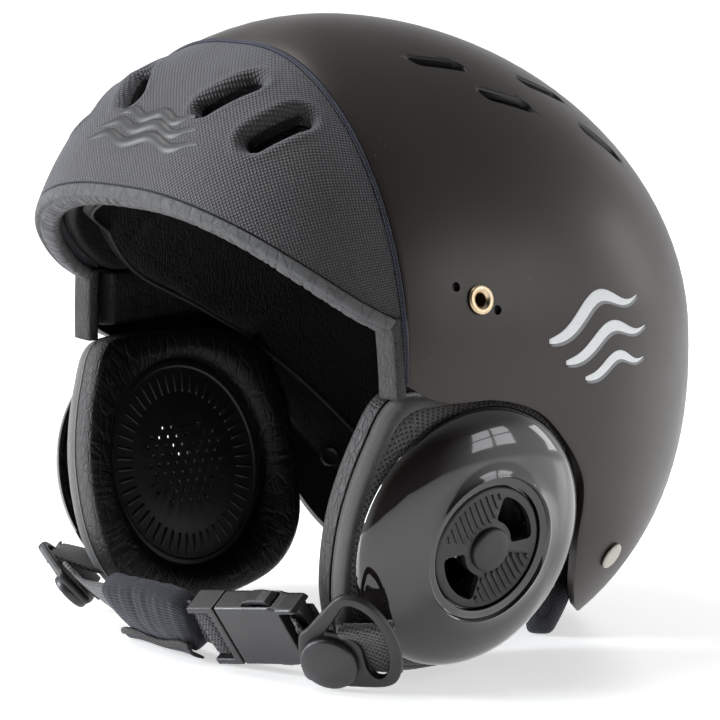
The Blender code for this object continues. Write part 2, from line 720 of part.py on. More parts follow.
def make_adjusters(materials, strap):
    """Ring that takes the pad's mesh tab, with a round thumb disc over its lower corner."""
    for side, tag in SIDES:
        centre, axes = adjuster_frame(side)
        ring = plate(mm(RING_OUTLINE), -1.5 * MM, 1.5 * MM, mm(RING_HOLE))
        vertices = in_frame(ring[0], centre, axes)
        body = mesh_object("strap_adjuster_" + tag, vertices, ring[1], materials["plastic"],
                           strap, mm(STRAP_HINGE))
        disc = turned(mm([(0, 1.2), (9.9, 1.2), (10.5, 2), (10.5, 3.8), (9.6, 4.6), (0, 5.1)]),
                      28, hole=False)
        thumb = mesh_object("thumb_disc_" + tag, in_frame(disc[0], centre, axes), disc[1], None,
                            strap, mm(STRAP_HINGE))
        cut(body, thumb, "UNION")


def ribbon(path, across, width, thickness):
    """A flat band along a path; `across` gives the direction of its width at each point."""
    tangents = np.gradient(path, axis=0)
    sections = []
    for point, tangent, side in zip(path, tangents, across):
        tangent = unit(tangent)
        side = unit(side - tangent * (side @ tangent))
        face = np.cross(tangent, side)
        sections.append([point + side * u * width / 2 + face * v * thickness / 2
                         for u, v in ((1, 1), (-1, 1), (-1, -1), (1, -1))])
    return skin(sections)


def make_tabs(materials, strap):
    """Mesh tabs that hang the adjusters on the ear pads."""
    route = mm([(6.5, 24.5, -12), (9, 19.5, -7.5), (10.5, 13, -4.2), (10.3, 6, -3.3), (9.5, 0, -3.3)])
    for side, tag in SIDES:
        centre, axes = adjuster_frame(side)
        path = in_frame(route, centre, axes)
        across = np.repeat(axes[:1], len(path), axis=0)
        vertices, faces = ribbon(path, across, TAB_WIDTH, 2 * MM)
        mesh_object("strap_tab_" + tag, vertices, faces, materials["mesh"], strap,
                    mm(STRAP_HINGE))


BUCKLE_ORIGIN = (38.5, -74.9, 15.8)  # middle of the face where plug and socket meet
BUCKLE_ALONG = (0.968, 0.215, 0.129)
BUCKLE_HALF_WIDTH = 13.5
BUCKLE_HALF_THICK = 5.2


def tilted_axes(along, tilt=STRAP_TILT):
    """Along the strap, across it (upwards), and out of its face."""
    along = unit(along)
    level = unit((along[1], -along[0], 0.0))
    face = level * math.cos(tilt) - np.array([0, 0, math.sin(tilt)])
    face = unit(face - along * (face @ along))
    across = np.cross(face, along)
    if across[2] < 0:
        across = -across
    return np.array([along, across, face])


def buckle_point(along, across, face):
    """A point in buckle coordinates (millimetres) to helmet coordinates."""
    return in_frame(mm((along, across, face)), mm(BUCKLE_ORIGIN), tilted_axes(BUCKLE_ALONG))


def buckle_body(name, outline, bottom, top, material, strap, hole=None, origin=STRAP_HINGE):
    vertices, faces = plate(mm(outline), bottom * MM, top * MM, None if hole is None else mm(hole))
    vertices = in_frame(vertices, mm(BUCKLE_ORIGIN), tilted_axes(BUCKLE_ALONG))
    return mesh_object(name, vertices, faces, material, strap, mm(origin))


def buckle_block(name, start, end, half_width, bottom, top, strap):
    """A guide block in buckle coordinates, for a cut or a union."""
    outline = ((start, -half_width), (start, half_width), (end, half_width), (end, -half_width))
    return buckle_body(name, outline, bottom, top, None, strap)


def make_buckle(materials, strap):
    w, h = BUCKLE_HALF_WIDTH, BUCKLE_HALF_THICK
    plastic = materials["plastic"]
    socket_outline = ((0.3, -w), (0.3, w), (26, w), (29, w - 1), (36.5, w - 1), (38, w - 2.5),
                      (38, 2.5 - w), (36.5, 1 - w), (29, 1 - w), (26, -w))
    socket = buckle_body("buckle_socket", socket_outline, -h, h, plastic, strap)
    tools = [buckle_block("socket_cavity", -2, 27.5, 11.4, -3.6, 3.6, strap),
             buckle_block("socket_windows", 13, 26.6, 18, -3.9, 3.9, strap),
             buckle_block("socket_slot", 30, 34.2, 10.6, -9, 9, strap),
             buckle_block("bar_front", 29.9, 40, 10.6, 2.2, 9, strap),
             buckle_block("bar_rear", 29.9, 40, 10.6, -9, -2.2, strap)]
    for tool in tools:
        cut(socket, tool)

    fork = ((-13, w - 2.6), (-12.5, w), (-0.2, w), (-0.2, -w), (-12.5, -w), (-13, 2.6 - w),
            (-3.4, 2.6 - w), (-3.4, w - 2.6))
    plug = buckle_body("buckle_plug", fork, -h, h, plastic, strap)
    bar = buckle_block("plug_bar", -9, -7, w - 1, -1, 1, strap)
    tongue = buckle_block("plug_tongue", -2, 21, 2, -1.6, 1.6, strap)
    for part in (bar, tongue):
        cut(plug, part, "UNION")
    for sign, tag in ((1, "upper"), (-1, "lower")):
        outline = [(0.3, 7.4), (0.3, 10.6), (11, 10.8), (13.4, 11), (13.6, 14.6), (20, 15),
                   (26, 13.4), (25.6, 9.4), (21, 8.2), (10, 7.6)]
        outline = [(x, sign * y) for x, y in outline]
        hinge = buckle_point(0, sign * 9, 0) / MM
        pivot = empty("prong_pivot_" + tag, strap, Vector(mm(hinge) - mm(STRAP_HINGE)))
        prong = buckle_body("buckle_prong_" + tag, outline, -3.2, 3.2, plastic, pivot,
                            origin=hinge)
        eye = [(19.8 + x, sign * (11.8 + y)) for x, y in capsule(7.2, 3)]
        cut(prong, buckle_body("prong_eye_" + tag, eye, -6, 6, None, pivot, origin=hinge))


CHIN_PATH = ((23.5, -77.6, 14.8), (17, -78.3, 15.7), (8, -78.8, 16.2), (-5, -78.6, 16),
             (-20, -77.4, 14.8), (-38, -74, 12.8), (-52, -70.4, 11.4), (-64, -67.8, 12))


def strap_directions(path):
    """Width direction and face direction along a strap path."""
    across, faces = [], []
    for point, tangent in zip(path, np.gradient(path, axis=0)):
        share = np.clip((20 * MM - point[0]) / (80 * MM), 0, 1)
        tilt = STRAP_TILT + (FAR_TILT - STRAP_TILT) * share
        axes = tilted_axes(tangent if tangent[0] > 0 else -tangent, tilt)
        across.append(axes[1])
        faces.append(axes[2])
    return np.array(across), np.array(faces)


def end_behind_adjuster(side):
    """Where the webbing's end is held behind the adjuster's plate."""
    centre, axes = adjuster_frame(side)
    return in_frame(mm([(-7, 0, -4.5), (-2, 0, -3)]), centre, axes), axes[1]


def buckle_loop(points):
    """Webbing around a bar of the buckle, with the direction of its width."""
    loop = np.array([buckle_point(*point) for point in points])
    return loop, np.repeat(tilted_axes(BUCKLE_ALONG)[1:2], len(loop), axis=0)


def make_webbing(materials, strap):
    loop, loop_across = buckle_loop([(-12, 0, -2.6), (-8, 0, -2.6), (-5.8, 0, -1.7), (-5.1, 0, 0),
                                     (-5.8, 0, 1.7), (-8, 0, 2.6), (-11.5, 0, 2.6)])
    path = smooth_line(mm(CHIN_PATH), 20)
    across, _ = strap_directions(path)
    end, end_up = end_behind_adjuster(-1)
    path = np.concatenate([loop, path, end])
    across = np.concatenate([loop_across, across, np.repeat(end_up[None, :], 2, axis=0)])
    vertices, faces = ribbon(path, across, STRAP_WIDTH, STRAP_THICK)
    mesh_object("chin_webbing", vertices, faces, materials["webbing"], strap, mm(STRAP_HINGE))

    loop, loop_across = buckle_loop([(38.5, 0, -3.6), (34.8, 0, -3.6), (32.6, 0, -2.4), (31.8, 0, 0),
                                     (32.7, 0, 2.4), (34.6, -0.7, 3.9), (36.4, -2, 5.7)])
    end, end_up = end_behind_adjuster(1)
    loop_across[-1] += end_up
    path = np.concatenate([loop, end])
    across = np.concatenate([loop_across, np.repeat(end_up[None, :], 2, axis=0)])
    vertices, faces = ribbon(path, across, STRAP_WIDTH - 4 * MM, STRAP_THICK)
    mesh_object("socket_webbing", vertices, faces, materials["webbing"], strap, mm(STRAP_HINGE))


def make_chin_pad(materials, strap):
    """Ribbed sleeve on the webbing, and the binding along its lower front edge."""
    whole = smooth_line(mm(CHIN_PATH), 60)
    path = smooth_line([p for p in whole if -30 * MM < p[0] < 20.5 * MM], 12)
    across, faces_out = strap_directions(path)
    outer = mm([(-15.5, -4), (-15.5, 3.5), (-12, 5.5), (0, 6.5), (11, 5.6), (14, 2.5), (14, -2.5),
                (11, -5), (0, -5.6), (-12, -5.4)])
    inner = mm([(-11.5, -2.8), (-11.5, 2.8), (-8, 3.2), (0, 3.2), (8, 3.2), (11.5, 2.8),
                (11.5, -2.8), (8, -3.2), (0, -3.2), (-8, -3.2)])
    rings = []
    narrower = np.linspace(0.86, 1, len(path))
    for profile, widths in ((outer, narrower), (inner, np.ones(len(path)))):
        rings.append([[point + side * u * width + face * v for u, v in profile]
                      for point, side, face, width in zip(path, across, faces_out, widths)])
    outside, inside = (np.array(ring) for ring in rings)
    vertices, faces = two_sided(outside, inside, wraps=True)
    mesh_object("chin_pad", vertices, faces, materials["ribbed"], strap, mm(STRAP_HINGE))

    binding = []
    for k, (point, side, face) in enumerate(zip(path, across, faces_out)):
        wave = 1.3 * MM * math.sin(2 * math.pi * k / (len(path) - 1) + 1.2)
        middle = point + side * (wave - 7.5 * MM) + face * 8.3 * MM
        binding.append([middle + side * 1.5 * MM * math.cos(t) + face * 1.2 * MM * math.sin(t)
                        for t in np.linspace(0, 2 * math.pi, 6, endpoint=False)])
    vertices, faces = skin(binding)
    mesh_object("chin_pad_binding", vertices, faces, materials["trim"], strap, mm(STRAP_HINGE))


def make_strap(materials, helmet):
    strap = empty("chin_strap_hinge", helmet, Vector(mm(STRAP_HINGE)))
    make_adjusters(materials, strap)
    make_tabs(materials, strap)
    make_buckle(materials, strap)
    make_webbing(materials, strap)
    make_chin_pad(materials, strap)


def main():
    clear_scene()
    materials = make_materials()
    helmet = empty("helmet_frame", None, (0, CENTRE_Y, 0))
    shell_cutter, brow_cutter = make_cutters(helmet)
    shell = make_shell(materials, helmet)
    brow = make_brow(materials, helmet)
    make_trim(materials, helmet)
    make_piping(materials, helmet)
    liner = make_crown_liner(materials, helmet)
    make_brow_band(materials, helmet)
    make_side_liners(materials, helmet)
    make_rear_liner(materials, helmet)
    make_neck_pad(materials, helmet)
    cut(shell, shell_cutter)
    cut(liner, shell_cutter)
    cut(liner, brow_cutter)
    cut(brow, brow_cutter)
    make_fasteners(materials, helmet)
    make_snaps(materials, helmet)
    make_ears(materials, helmet)
    make_strap(materials, helmet)


main()
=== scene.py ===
"""The look of the water helmet: finely shaped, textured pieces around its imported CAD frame."""

import math
from functools import cached_property

import bmesh
import bpy
import numpy as np
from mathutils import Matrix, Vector


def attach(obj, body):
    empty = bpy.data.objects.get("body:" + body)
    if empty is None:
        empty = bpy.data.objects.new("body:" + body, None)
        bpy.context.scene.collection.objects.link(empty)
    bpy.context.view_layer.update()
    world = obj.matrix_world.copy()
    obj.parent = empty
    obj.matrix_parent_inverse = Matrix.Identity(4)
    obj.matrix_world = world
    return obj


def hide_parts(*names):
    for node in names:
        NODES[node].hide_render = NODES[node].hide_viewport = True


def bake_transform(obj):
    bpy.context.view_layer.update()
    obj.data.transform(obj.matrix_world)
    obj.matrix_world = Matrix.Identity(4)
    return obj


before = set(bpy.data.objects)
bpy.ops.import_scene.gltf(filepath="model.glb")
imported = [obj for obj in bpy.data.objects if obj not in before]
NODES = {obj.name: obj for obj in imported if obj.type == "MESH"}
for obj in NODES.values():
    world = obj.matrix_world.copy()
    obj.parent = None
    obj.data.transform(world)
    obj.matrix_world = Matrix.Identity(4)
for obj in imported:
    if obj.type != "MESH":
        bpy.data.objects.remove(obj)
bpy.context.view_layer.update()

MM = 0.001
HOME = np.array([0.0, -21.3, 0.0]) * MM   # from the helmet's own coordinates to the frame's
SIDES = ((1, "left"), (-1, "right"))

# ---- the helmet's driving dimensions, as the CAD has them ----
SHELL_CENTRE = np.array([0.0, 0.0, 113.0]) * MM
SHELL_HALF_WIDTH = 103 * MM
SHELL_FRONT, SHELL_REAR = 110.5 * MM, 142 * MM
SHELL_TOP, SHELL_BOTTOM = 118 * MM, 135 * MM
FORWARD_LEAN = 0.06
FRONT_POWER, REAR_POWER = 2.85, 2.3
TOP_POWER, BOTTOM_POWER = 1.92, 2.3
SHELL_WALL = 3.2 * MM
BROW_WALL = 6 * MM
BROW_BULGE = 3 * MM
LINER_DEPTH = 12.5 * MM
SEAM_Y = -46 * MM
SEAM_HALF_GAP = 1.3 * MM
EAR_CENTRE = (109, -13.5, 46.8)
EAR_TILT = math.radians(12)
PLATE_STRETCH = 40.2 / 35.2               # the ear plate's height over its width
STRAP_WIDTH = 20 * MM
WEBBING_THICKNESS, TAB_THICKNESS = 1.6 * MM, 1.9 * MM
STRAP_TILT, FAR_TILT = math.radians(33), math.radians(48)
FLOOR_GAP = 0.3 * MM                      # blown-up pieces and pads stay this far off the floor
PRESSURE, PUFF_FRAMES = 4.0, 20           # of the short cloth simulations

# ---- the camera stands where the photographer stood ----
CAMERA_AZIMUTH, CAMERA_ELEVATION = math.radians(52.5), math.radians(7.5)
CAMERA_DISTANCE = 1.5
CAMERA_LENS = 201
CAMERA_SHIFT = (0.033, -0.0756)
LOOK_AT = Vector((0, -0.0213, 0.1218))
LIT_POINT = Vector((0, 0, 0.12))          # what all lights face
DARK_SIDE = (0.77, -0.59, 0.24)           # direction in which the studio is dark


def mm(values):
    """Millimetres to metres, as an array."""
    return np.array(values, float) * MM


def unit(vector):
    vector = np.asarray(vector, float)
    return vector / np.linalg.norm(vector)


# ---- curves and surfaces ----

def shell_surface(points, offset=0.0):
    """Move points along their rays from the shell centre until they lie `offset` off the shell."""
    rays = np.asarray(points, float) - SHELL_CENTRE
    x = np.abs(rays[..., 0])
    z = rays[..., 2]
    y = rays[..., 1] + FORWARD_LEAN * z
    in_front = y < 0
    above = z > 0
    length = np.where(in_front, SHELL_FRONT, SHELL_REAR) + offset
    plan_power = np.where(in_front, FRONT_POWER, REAR_POWER)
    wide = (x / (SHELL_HALF_WIDTH + offset)) ** plan_power
    plan = (wide + np.abs(y / length) ** plan_power) ** (1 / plan_power)
    height = np.where(above, SHELL_TOP, SHELL_BOTTOM) + offset
    side_power = np.where(above, TOP_POWER, BOTTOM_POWER)
    reach = (plan ** side_power + np.abs(z / height) ** side_power) ** (-1 / side_power)
    return SHELL_CENTRE + rays * reach[..., None]


def shell_normal(point):
    """Outward direction of the shell's surface at a point on it."""
    ray = unit(point - SHELL_CENTRE)
    across = unit(np.cross((1, 0, 0), ray))
    along = np.cross(ray, across)
    step = 0.5 * MM
    here = shell_surface(point)
    a = shell_surface(point + across * step) - here
    b = shell_surface(point + along * step) - here
    normal = unit(np.cross(a, b))
    return normal if normal @ ray > 0 else -normal


def spline(points, steps, closed=False):
    """A smooth curve through the points, with `steps` pieces between each two."""
    points = [np.asarray(p, float) for p in points]
    if closed:
        knots = [points[-1]] + points + points[:2]
    else:
        knots = [2 * points[0] - points[1]] + points + [2 * points[-1] - points[-2]]
    fine = []
    for a, b, c, d in zip(knots, knots[1:], knots[2:], knots[3:]):
        for t in np.linspace(0, 1, steps, endpoint=False):
            fine.append(0.5 * (2 * b + (c - a) * t + (2 * a - 5 * b + 4 * c - d) * t ** 2
                               + (3 * b - a - 3 * c + d) * t ** 3))
    return np.array(fine if closed else fine + [points[-1]])


def smooth_line(points, count, closed=False):
    """`count` evenly spaced points on a smooth curve through the given points."""
    fine = spline(points, 12, closed)
    if closed:
        fine = np.concatenate([fine, fine[:1]])
    travelled = np.concatenate([[0], np.cumsum(np.linalg.norm(np.diff(fine, axis=0), axis=1))])
    stations = np.linspace(0, travelled[-1], count, endpoint=not closed)
    return np.stack([np.interp(stations, travelled, fine[:, k]) for k in range(fine.shape[1])],
                    axis=1)


def mirrored(points):
    """The points, then their mirror images back across the middle, as one symmetric line."""
    points = [tuple(p) for p in points]
    return points + [(-x, y, z) for x, y, z in reversed(points) if abs(x) > 1e-9]


def flipped(point, side):
    return (side * point[0], point[1], point[2])


def sided(points, side):
    """Points of the left side, or their mirror images, from millimetres to metres."""
    return mm([flipped(point, side) for point in points])


def both_sides(spots):
    """Side, place and direction of every spot on the left, then of their mirror images."""
    return [(side, mm(flipped(centre, side)), flipped(along, side))
            for side, _ in SIDES for centre, along in spots]


def walk(line):
    """Each point of a line with the direction of the line there."""
    return zip(line, np.gradient(line, axis=0))


def full_turn(count):
    """Evenly spaced angles, once round."""
    return np.linspace(0, 2 * math.pi, count, endpoint=False)


def arm(turn):
    """The direction at an angle, in a plane."""
    return np.array([math.cos(turn), math.sin(turn)])


def hoop(middle, a, b):
    """Points round an ellipse with these half axes."""
    return [middle + a * math.cos(t) + b * math.sin(t) for t in full_turn(12)]


def blunt(value, power):
    """A sine or cosine pushed outwards, which squares the circle it draws."""
    return math.copysign(abs(value) ** power, value)


def seam_line(y, lowest, count):
    """Where the plane at y cuts the shell, from the left temple over the crown to the right."""
    start = math.acos((lowest - SHELL_CENTRE[2]) / SHELL_TOP)
    turns = np.linspace(start, -start, count)
    line = SHELL_CENTRE + np.stack([SHELL_HALF_WIDTH * np.sin(turns), np.full(count, y),
                                    SHELL_TOP * np.cos(turns)], axis=1)
    for _ in range(12):
        line = shell_surface(line)
        line[:, 1] = y
    line[0][2] = line[-1][2] = lowest
    return smooth_line(line, count)


def fan(first, last, rows):
    """Rows of points that sweep from one line to another around the shell centre."""
    a = first - SHELL_CENTRE
    b = last - SHELL_CENTRE
    a = a / np.linalg.norm(a, axis=1)[:, None]
    b = b / np.linalg.norm(b, axis=1)[:, None]
    angle = np.arccos(np.clip((a * b).sum(axis=1), -1, 1))
    angle = np.maximum(angle, 1e-6)[:, None]
    grid = []
    for mix in np.linspace(0, 1, rows + 1):
        ray = (np.sin((1 - mix) * angle) * a + np.sin(mix * angle) * b) / np.sin(angle)
        grid.append(SHELL_CENTRE + 100 * MM * ray)
    return np.array(grid)


# ---- meshes ----

def add_object(name, data):
    made = bpy.data.objects.new(name, data)
    bpy.context.scene.collection.objects.link(made)
    return made


def piece(name, solid, look):
    """An object from a body in helmet coordinates; its UV map holds metres along and across."""
    vertices, faces, uvs = solid
    mesh = bpy.data.meshes.new(name)
    mesh.from_pydata(np.asarray(vertices) + HOME, [], faces)
    layer_map = mesh.uv_layers.new(name="metres")
    layer_map.data.foreach_set("uv", np.array(uvs, np.float32).ravel())
    body = bmesh.new()
    body.from_mesh(mesh)
    bmesh.ops.remove_doubles(body, verts=body.verts, dist=1e-6)
    loose = [edge for edge in body.edges if not edge.link_faces]
    bmesh.ops.delete(body, geom=loose, context="EDGES")
    bmesh.ops.recalc_face_normals(body, faces=body.faces)
    body.to_mesh(mesh)
    body.free()
    mesh.shade_smooth()
    mesh.materials.append(LOOKS[look])
    return add_object(name, mesh)


def travelled(points):
    """Distances along the first axis of a grid, averaged over the second."""
    steps = np.linalg.norm(np.diff(points, axis=0), axis=2).mean(axis=1)
    return np.concatenate([[0], np.cumsum(steps)])


def skin(sections, closed=False):
    """Vertices, faces and UVs of the body through a row of closed sections."""
    sections = np.asarray(sections, float)
    count, around = sections.shape[:2]
    along = travelled(np.concatenate([sections, sections[:1]]) if closed else sections)
    ring = np.concatenate([sections, sections[:, :1]], axis=1)
    across = travelled(np.swapaxes(ring, 0, 1))
    faces, uvs = [], []
    for s in range(count if closed else count - 1):
        ahead = (s + 1) % count
        for k in range(around):
            n = (k + 1) % around
            faces.append((s * around + k, s * around + n, ahead * around + n, ahead * around + k))
            uvs += [(along[s], across[k]), (along[s], across[k + 1]),
                    (along[s + 1], across[k + 1]), (along[s + 1], across[k])]
    if not closed:
        for start in (0, (count - 1) * around):
            faces.append(tuple(range(start, start + around)))
            uvs += [(0, across[k]) for k in range(around)]
    return sections.reshape(-1, 3), faces, uvs


def two_sided(top, bottom, wraps=False, flat=None):
    """Vertices, faces and UVs of the closed body between two grids of points."""
    rows, columns = top.shape[:2]
    vertices = np.concatenate([top.reshape(-1, 3), bottom.reshape(-1, 3)])
    if flat is None:
        v, u = travelled(top), travelled(np.swapaxes(top, 0, 1))
        u = np.append(u, u[-1] + u[1])
        flat = np.stack(np.meshgrid(u, v), axis=2)
    below = rows * columns
    faces, uvs = [], []

    def add(corners, spots):
        faces.append(tuple(corners))
        uvs.extend(flat[r, c] for r, c in spots)
    for r in range(rows - 1):
        for c in range(columns if wraps else columns - 1):
            n = (c + 1) % columns
            quad = [r * columns + c, r * columns + n, (r + 1) * columns + n, (r + 1) * columns + c]
            spots = [(r, c), (r, c + 1), (r + 1, c + 1), (r + 1, c)]
            add(quad, spots)
            add([below + i for i in reversed(quad)], reversed(spots))
    rims = [[(r, c) for c in range(columns)] for r in (0, rows - 1)]
    if wraps:
        rims = [rim + rim[:1] for rim in rims]
    else:
        rims += [[(r, c) for r in range(rows)] for c in (0, columns - 1)]
    for rim in rims:
        for a, b in zip(rim, rim[1:]):
            i, j = a[0] * columns + a[1], b[0] * columns + b[1]
            add((i, j, below + j, below + i), (a, b, b, a))
    return vertices, faces, uvs


def layer(name, grid, outer, inner, look, wraps=False):
    """A layer of the helmet between two depths under the outer surface."""
    return piece(name, two_sided(shell_surface(grid, outer), shell_surface(grid, inner), wraps), look)


def turned(profile, segments, hole=True):
    """Turn a profile in millimetres about local Z; with a hole, the profile is a loop."""
    profile = mm(profile)
    turns = full_turn(segments)
    sections = [np.stack([profile[:, 0] * math.cos(t), profile[:, 0] * math.sin(t),
                          profile[:, 1]], axis=1) for t in turns]
    vertices, faces, uvs = skin(sections, closed=True)
    if hole:
        return vertices, faces, uvs
    around = len(profile)
    kept = [k for k, face in enumerate(faces) if face[0] % around != around - 1]
    return vertices, [faces[k] for k in kept], [uv for k in kept for uv in uvs[4 * k:4 * k + 4]]


def in_frame(vertices, centre, axes):
    """Local X, Y, Z coordinates to helmet coordinates."""
    return np.asarray(centre) + np.asarray(vertices) @ np.asarray(axes)


def placed(body, centre, axes):
    """A body moved from local to helmet coordinates."""
    return in_frame(body[0], centre, axes), body[1], body[2]


def prism(outline, heights):
    """A body through copies of an outline at several heights; each may have its own outline."""
    sections = []
    for height, shape in zip(heights, outline):
        shape = np.array(shape, float)
        sections.append(np.column_stack([shape, np.full(len(shape), height)]))
    return skin(sections)


def joined(bodies):
    """Several bodies as one."""
    vertices, faces, uvs, start = [], [], [], 0
    for body_vertices, body_faces, body_uvs in bodies:
        vertices.append(np.asarray(body_vertices, float))
        faces += [tuple(start + i for i in face) for face in body_faces]
        uvs += list(body_uvs)
        start += len(body_vertices)
    return np.concatenate(vertices), faces, uvs


def capsule(length, width, slant=0.0, corners=9):
    """Outline of a slot with round ends, whose ends lean by `slant` across its width."""
    half = (length - width) / 2
    outline = []
    for end in (1, -1):
        for turn in np.linspace(-math.pi / 2, math.pi / 2, corners):
            x = end * (half + width / 2 * math.cos(turn))
            y = end * width / 2 * math.sin(turn)
            outline.append((x + slant * y, y))
    return outline


def circle(radius, count):
    return [(radius * math.cos(t), radius * math.sin(t)) for t in full_turn(count)]


def tangent_frame(point, along):
    """A point on the shell with the axes along, across and out of its surface."""
    point = shell_surface(np.array(point, float))
    out = shell_normal(point)
    length = unit(np.asarray(along, float) - out * (np.asarray(along, float) @ out))
    return point, np.array([length, np.cross(out, length), out])


def surface_cutter(point, along, outlines, heights):
    """A cutter whose outlines follow the shell at several offsets from it."""
    point, axes = tangent_frame(point, along)
    sections = []
    for outline, height in zip(outlines, heights):
        flat = np.column_stack([np.array(outline, float), np.zeros(len(outline))])
        sections.append(shell_surface(in_frame(flat, point, axes), height))
    return skin(sections)


# ---- changes to finished pieces ----

def bake(made):
    """Apply a piece's modifiers."""
    bpy.context.view_layer.update()
    graph = bpy.context.evaluated_depsgraph_get()
    mesh = bpy.data.meshes.new_from_object(made.evaluated_get(graph), preserve_all_data_layers=True,
                                           depsgraph=graph)
    made.modifiers.clear()
    made.data = mesh


def modify(made, kind, **settings):
    change = made.modifiers.new(kind.lower(), kind)
    for key, value in settings.items():
        setattr(change, key, value)
    return change


def cut(made, bodies, operation="DIFFERENCE", walls=None):
    """Cut bodies out of a piece, or join them on with UNION; walls is the cut's own look."""
    tool = piece("tool", joined(bodies), walls or "inner")
    if walls is None:
        tool.data.materials[0] = made.data.materials[0]
    modify(made, "BOOLEAN", operation=operation, object=tool, solver="EXACT",
           material_mode="TRANSFER")
    bake(made)
    bpy.data.objects.remove(tool)


def crisp(made, degrees):
    """Keep the edges sharp that turn by more than this."""
    made.data.set_sharp_from_angle(angle=math.radians(degrees))


def soften(made, width):
    """Round a piece's sharp edges."""
    modify(made, "BEVEL", width=width, segments=3, limit_method="ANGLE",
           angle_limit=math.radians(35))
    bake(made)


def melt(made, voxel, rounds):
    """Remesh a piece finely and smooth it, which rounds all its edges like moulded plastic."""
    modify(made, "REMESH", mode="VOXEL", voxel_size=voxel)
    modify(made, "SMOOTH", factor=0.5, iterations=rounds)
    bake(made)
    made.data.shade_smooth()


def inflate(made, cap):
    """Blow a padded piece up with a short cloth simulation; no point moves further than cap."""
    mesh = made.data
    before = np.array([v.co for v in mesh.vertices])
    cloth = modify(made, "CLOTH")
    cloth.settings.use_pressure = True
    cloth.settings.uniform_pressure_force = PRESSURE
    cloth.settings.effector_weights.gravity = 0
    cloth.settings.quality = 6
    cloth.point_cache.frame_start = 1
    cloth.point_cache.frame_end = PUFF_FRAMES
    scene = bpy.context.scene
    for step in range(1, PUFF_FRAMES + 1):
        scene.frame_set(step)
    graph = bpy.context.evaluated_depsgraph_get()
    after = np.array([v.co for v in made.evaluated_get(graph).data.vertices])
    made.modifiers.clear()
    scene.frame_set(1)
    move = after - before
    length = np.linalg.norm(move, axis=1)[:, None]
    move = move * np.minimum(1, cap / np.maximum(length, 1e-9))
    after = before + move
    after[:, 2] = np.maximum(after[:, 2], FLOOR_GAP)
    mesh.vertices.foreach_set("co", after.ravel())
    mesh.update()


def plump(made, cap):
    inflate(made, cap)
    modify(made, "SUBSURF", levels=1, render_levels=1)
    bake(made)


def finish(made, body, slot, *nodes):
    """Ride on a body and stand for CAD nodes; slot is not used."""
    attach(made, body)
    if nodes:
        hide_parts(*nodes)


def dress(name, solid, look, body, slot, *nodes):
    """Make a piece in one of the looks and finish it."""
    finish(piece(name, solid, look), body, slot, *nodes)


# ---- materials ----

def add_node(tree, kind, inputs, output=0, **settings):
    """One output of a new shader node whose inputs are linked or set."""
    made = tree.nodes.new("ShaderNode" + kind)
    for key, value in settings.items():
        setattr(made, key, value)
    for key, value in inputs.items():
        if isinstance(value, bpy.types.NodeSocket):
            tree.links.new(value, made.inputs[key])
        else:
            made.inputs[key].default_value = value
    return made.outputs[output]


class Look:
    """A Principled material whose detail is built from nodes."""

    def __init__(self, name, colour, roughness, **sockets):
        self.material = bpy.data.materials.new(name)
        self.material.use_nodes = True
        self.tree = self.material.node_tree
        self.shader = self.tree.nodes["Principled BSDF"]
        self.shader.inputs["Base Color"].default_value = (*colour, 1)
        self.shader.inputs["Roughness"].default_value = roughness
        for socket, value in sockets.items():
            self.shader.inputs[socket.replace("_", " ")].default_value = value
        self.colour = colour
        self.normal = None

    @cached_property
    def place(self):
        return self.node("TexCoord", {}, output=3)

    def node(self, kind, inputs, output=0, **settings):
        return add_node(self.tree, kind, inputs, output, **settings)

    def math(self, operation, a, b=0.0):
        return self.node("Math", {0: a, 1: b}, operation=operation)

    def times(self, a, b):
        return self.math("MULTIPLY", a, b)

    def wave(self, value, pitch):
        """A sine with this pitch in metres, from 0 to 1."""
        turn = self.times(value, 2 * math.pi / pitch)
        return self.math("MULTIPLY_ADD", self.math("SINE", turn), 0.5)

    def uv(self):
        return self.parts(self.node("UVMap", {}, uv_map="metres"))[:2]

    def parts(self, vector):
        made = self.tree.nodes.new("ShaderNodeSeparateXYZ")
        self.tree.links.new(vector, made.inputs[0])
        return made.outputs

    def noise(self, scale, detail=3.0, roughness=0.55, at=None):
        return self.node("TexNoise", {"Vector": at or self.place, "Scale": scale, "Detail": detail,
                                      "Roughness": roughness})

    def cells(self, scale, feature="DISTANCE_TO_EDGE", at=None):
        return self.node("TexVoronoi", {"Vector": at or self.place, "Scale": scale},
                         feature=feature)

    def spread(self, value, low, high, to_low=0.0, to_high=1.0):
        return self.node("MapRange", {0: value, 1: low, 2: high, 3: to_low, 4: to_high})

    def stretched(self, scale, at=None):
        return self.node("Mapping", {"Vector": at or self.place, "Scale": scale})

    def tint(self, other, factor, *span):
        """Mix the base colour towards another one, by the factor's spread over a span."""
        factor = self.spread(factor, *span) if span else factor
        base = self.shader.inputs["Base Color"]
        first = base.links[0].from_socket if base.is_linked else (*self.colour, 1)
        mixed = self.node("Mix", {0: factor, 6: first, 7: (*other, 1)}, output=2, data_type="RGBA")
        self.tree.links.new(mixed, base)

    def roughen(self, factor, low, high):
        self.tree.links.new(self.spread(factor, 0, 1, low, high), self.shader.inputs["Roughness"])

    def bump(self, height, distance, strength=1.0):
        inputs = {"Height": height, "Distance": distance, "Strength": strength}
        if self.normal is not None:
            inputs["Normal"] = self.normal
        self.normal = self.node("Bump", inputs)
        self.tree.links.new(self.normal, self.shader.inputs["Normal"])


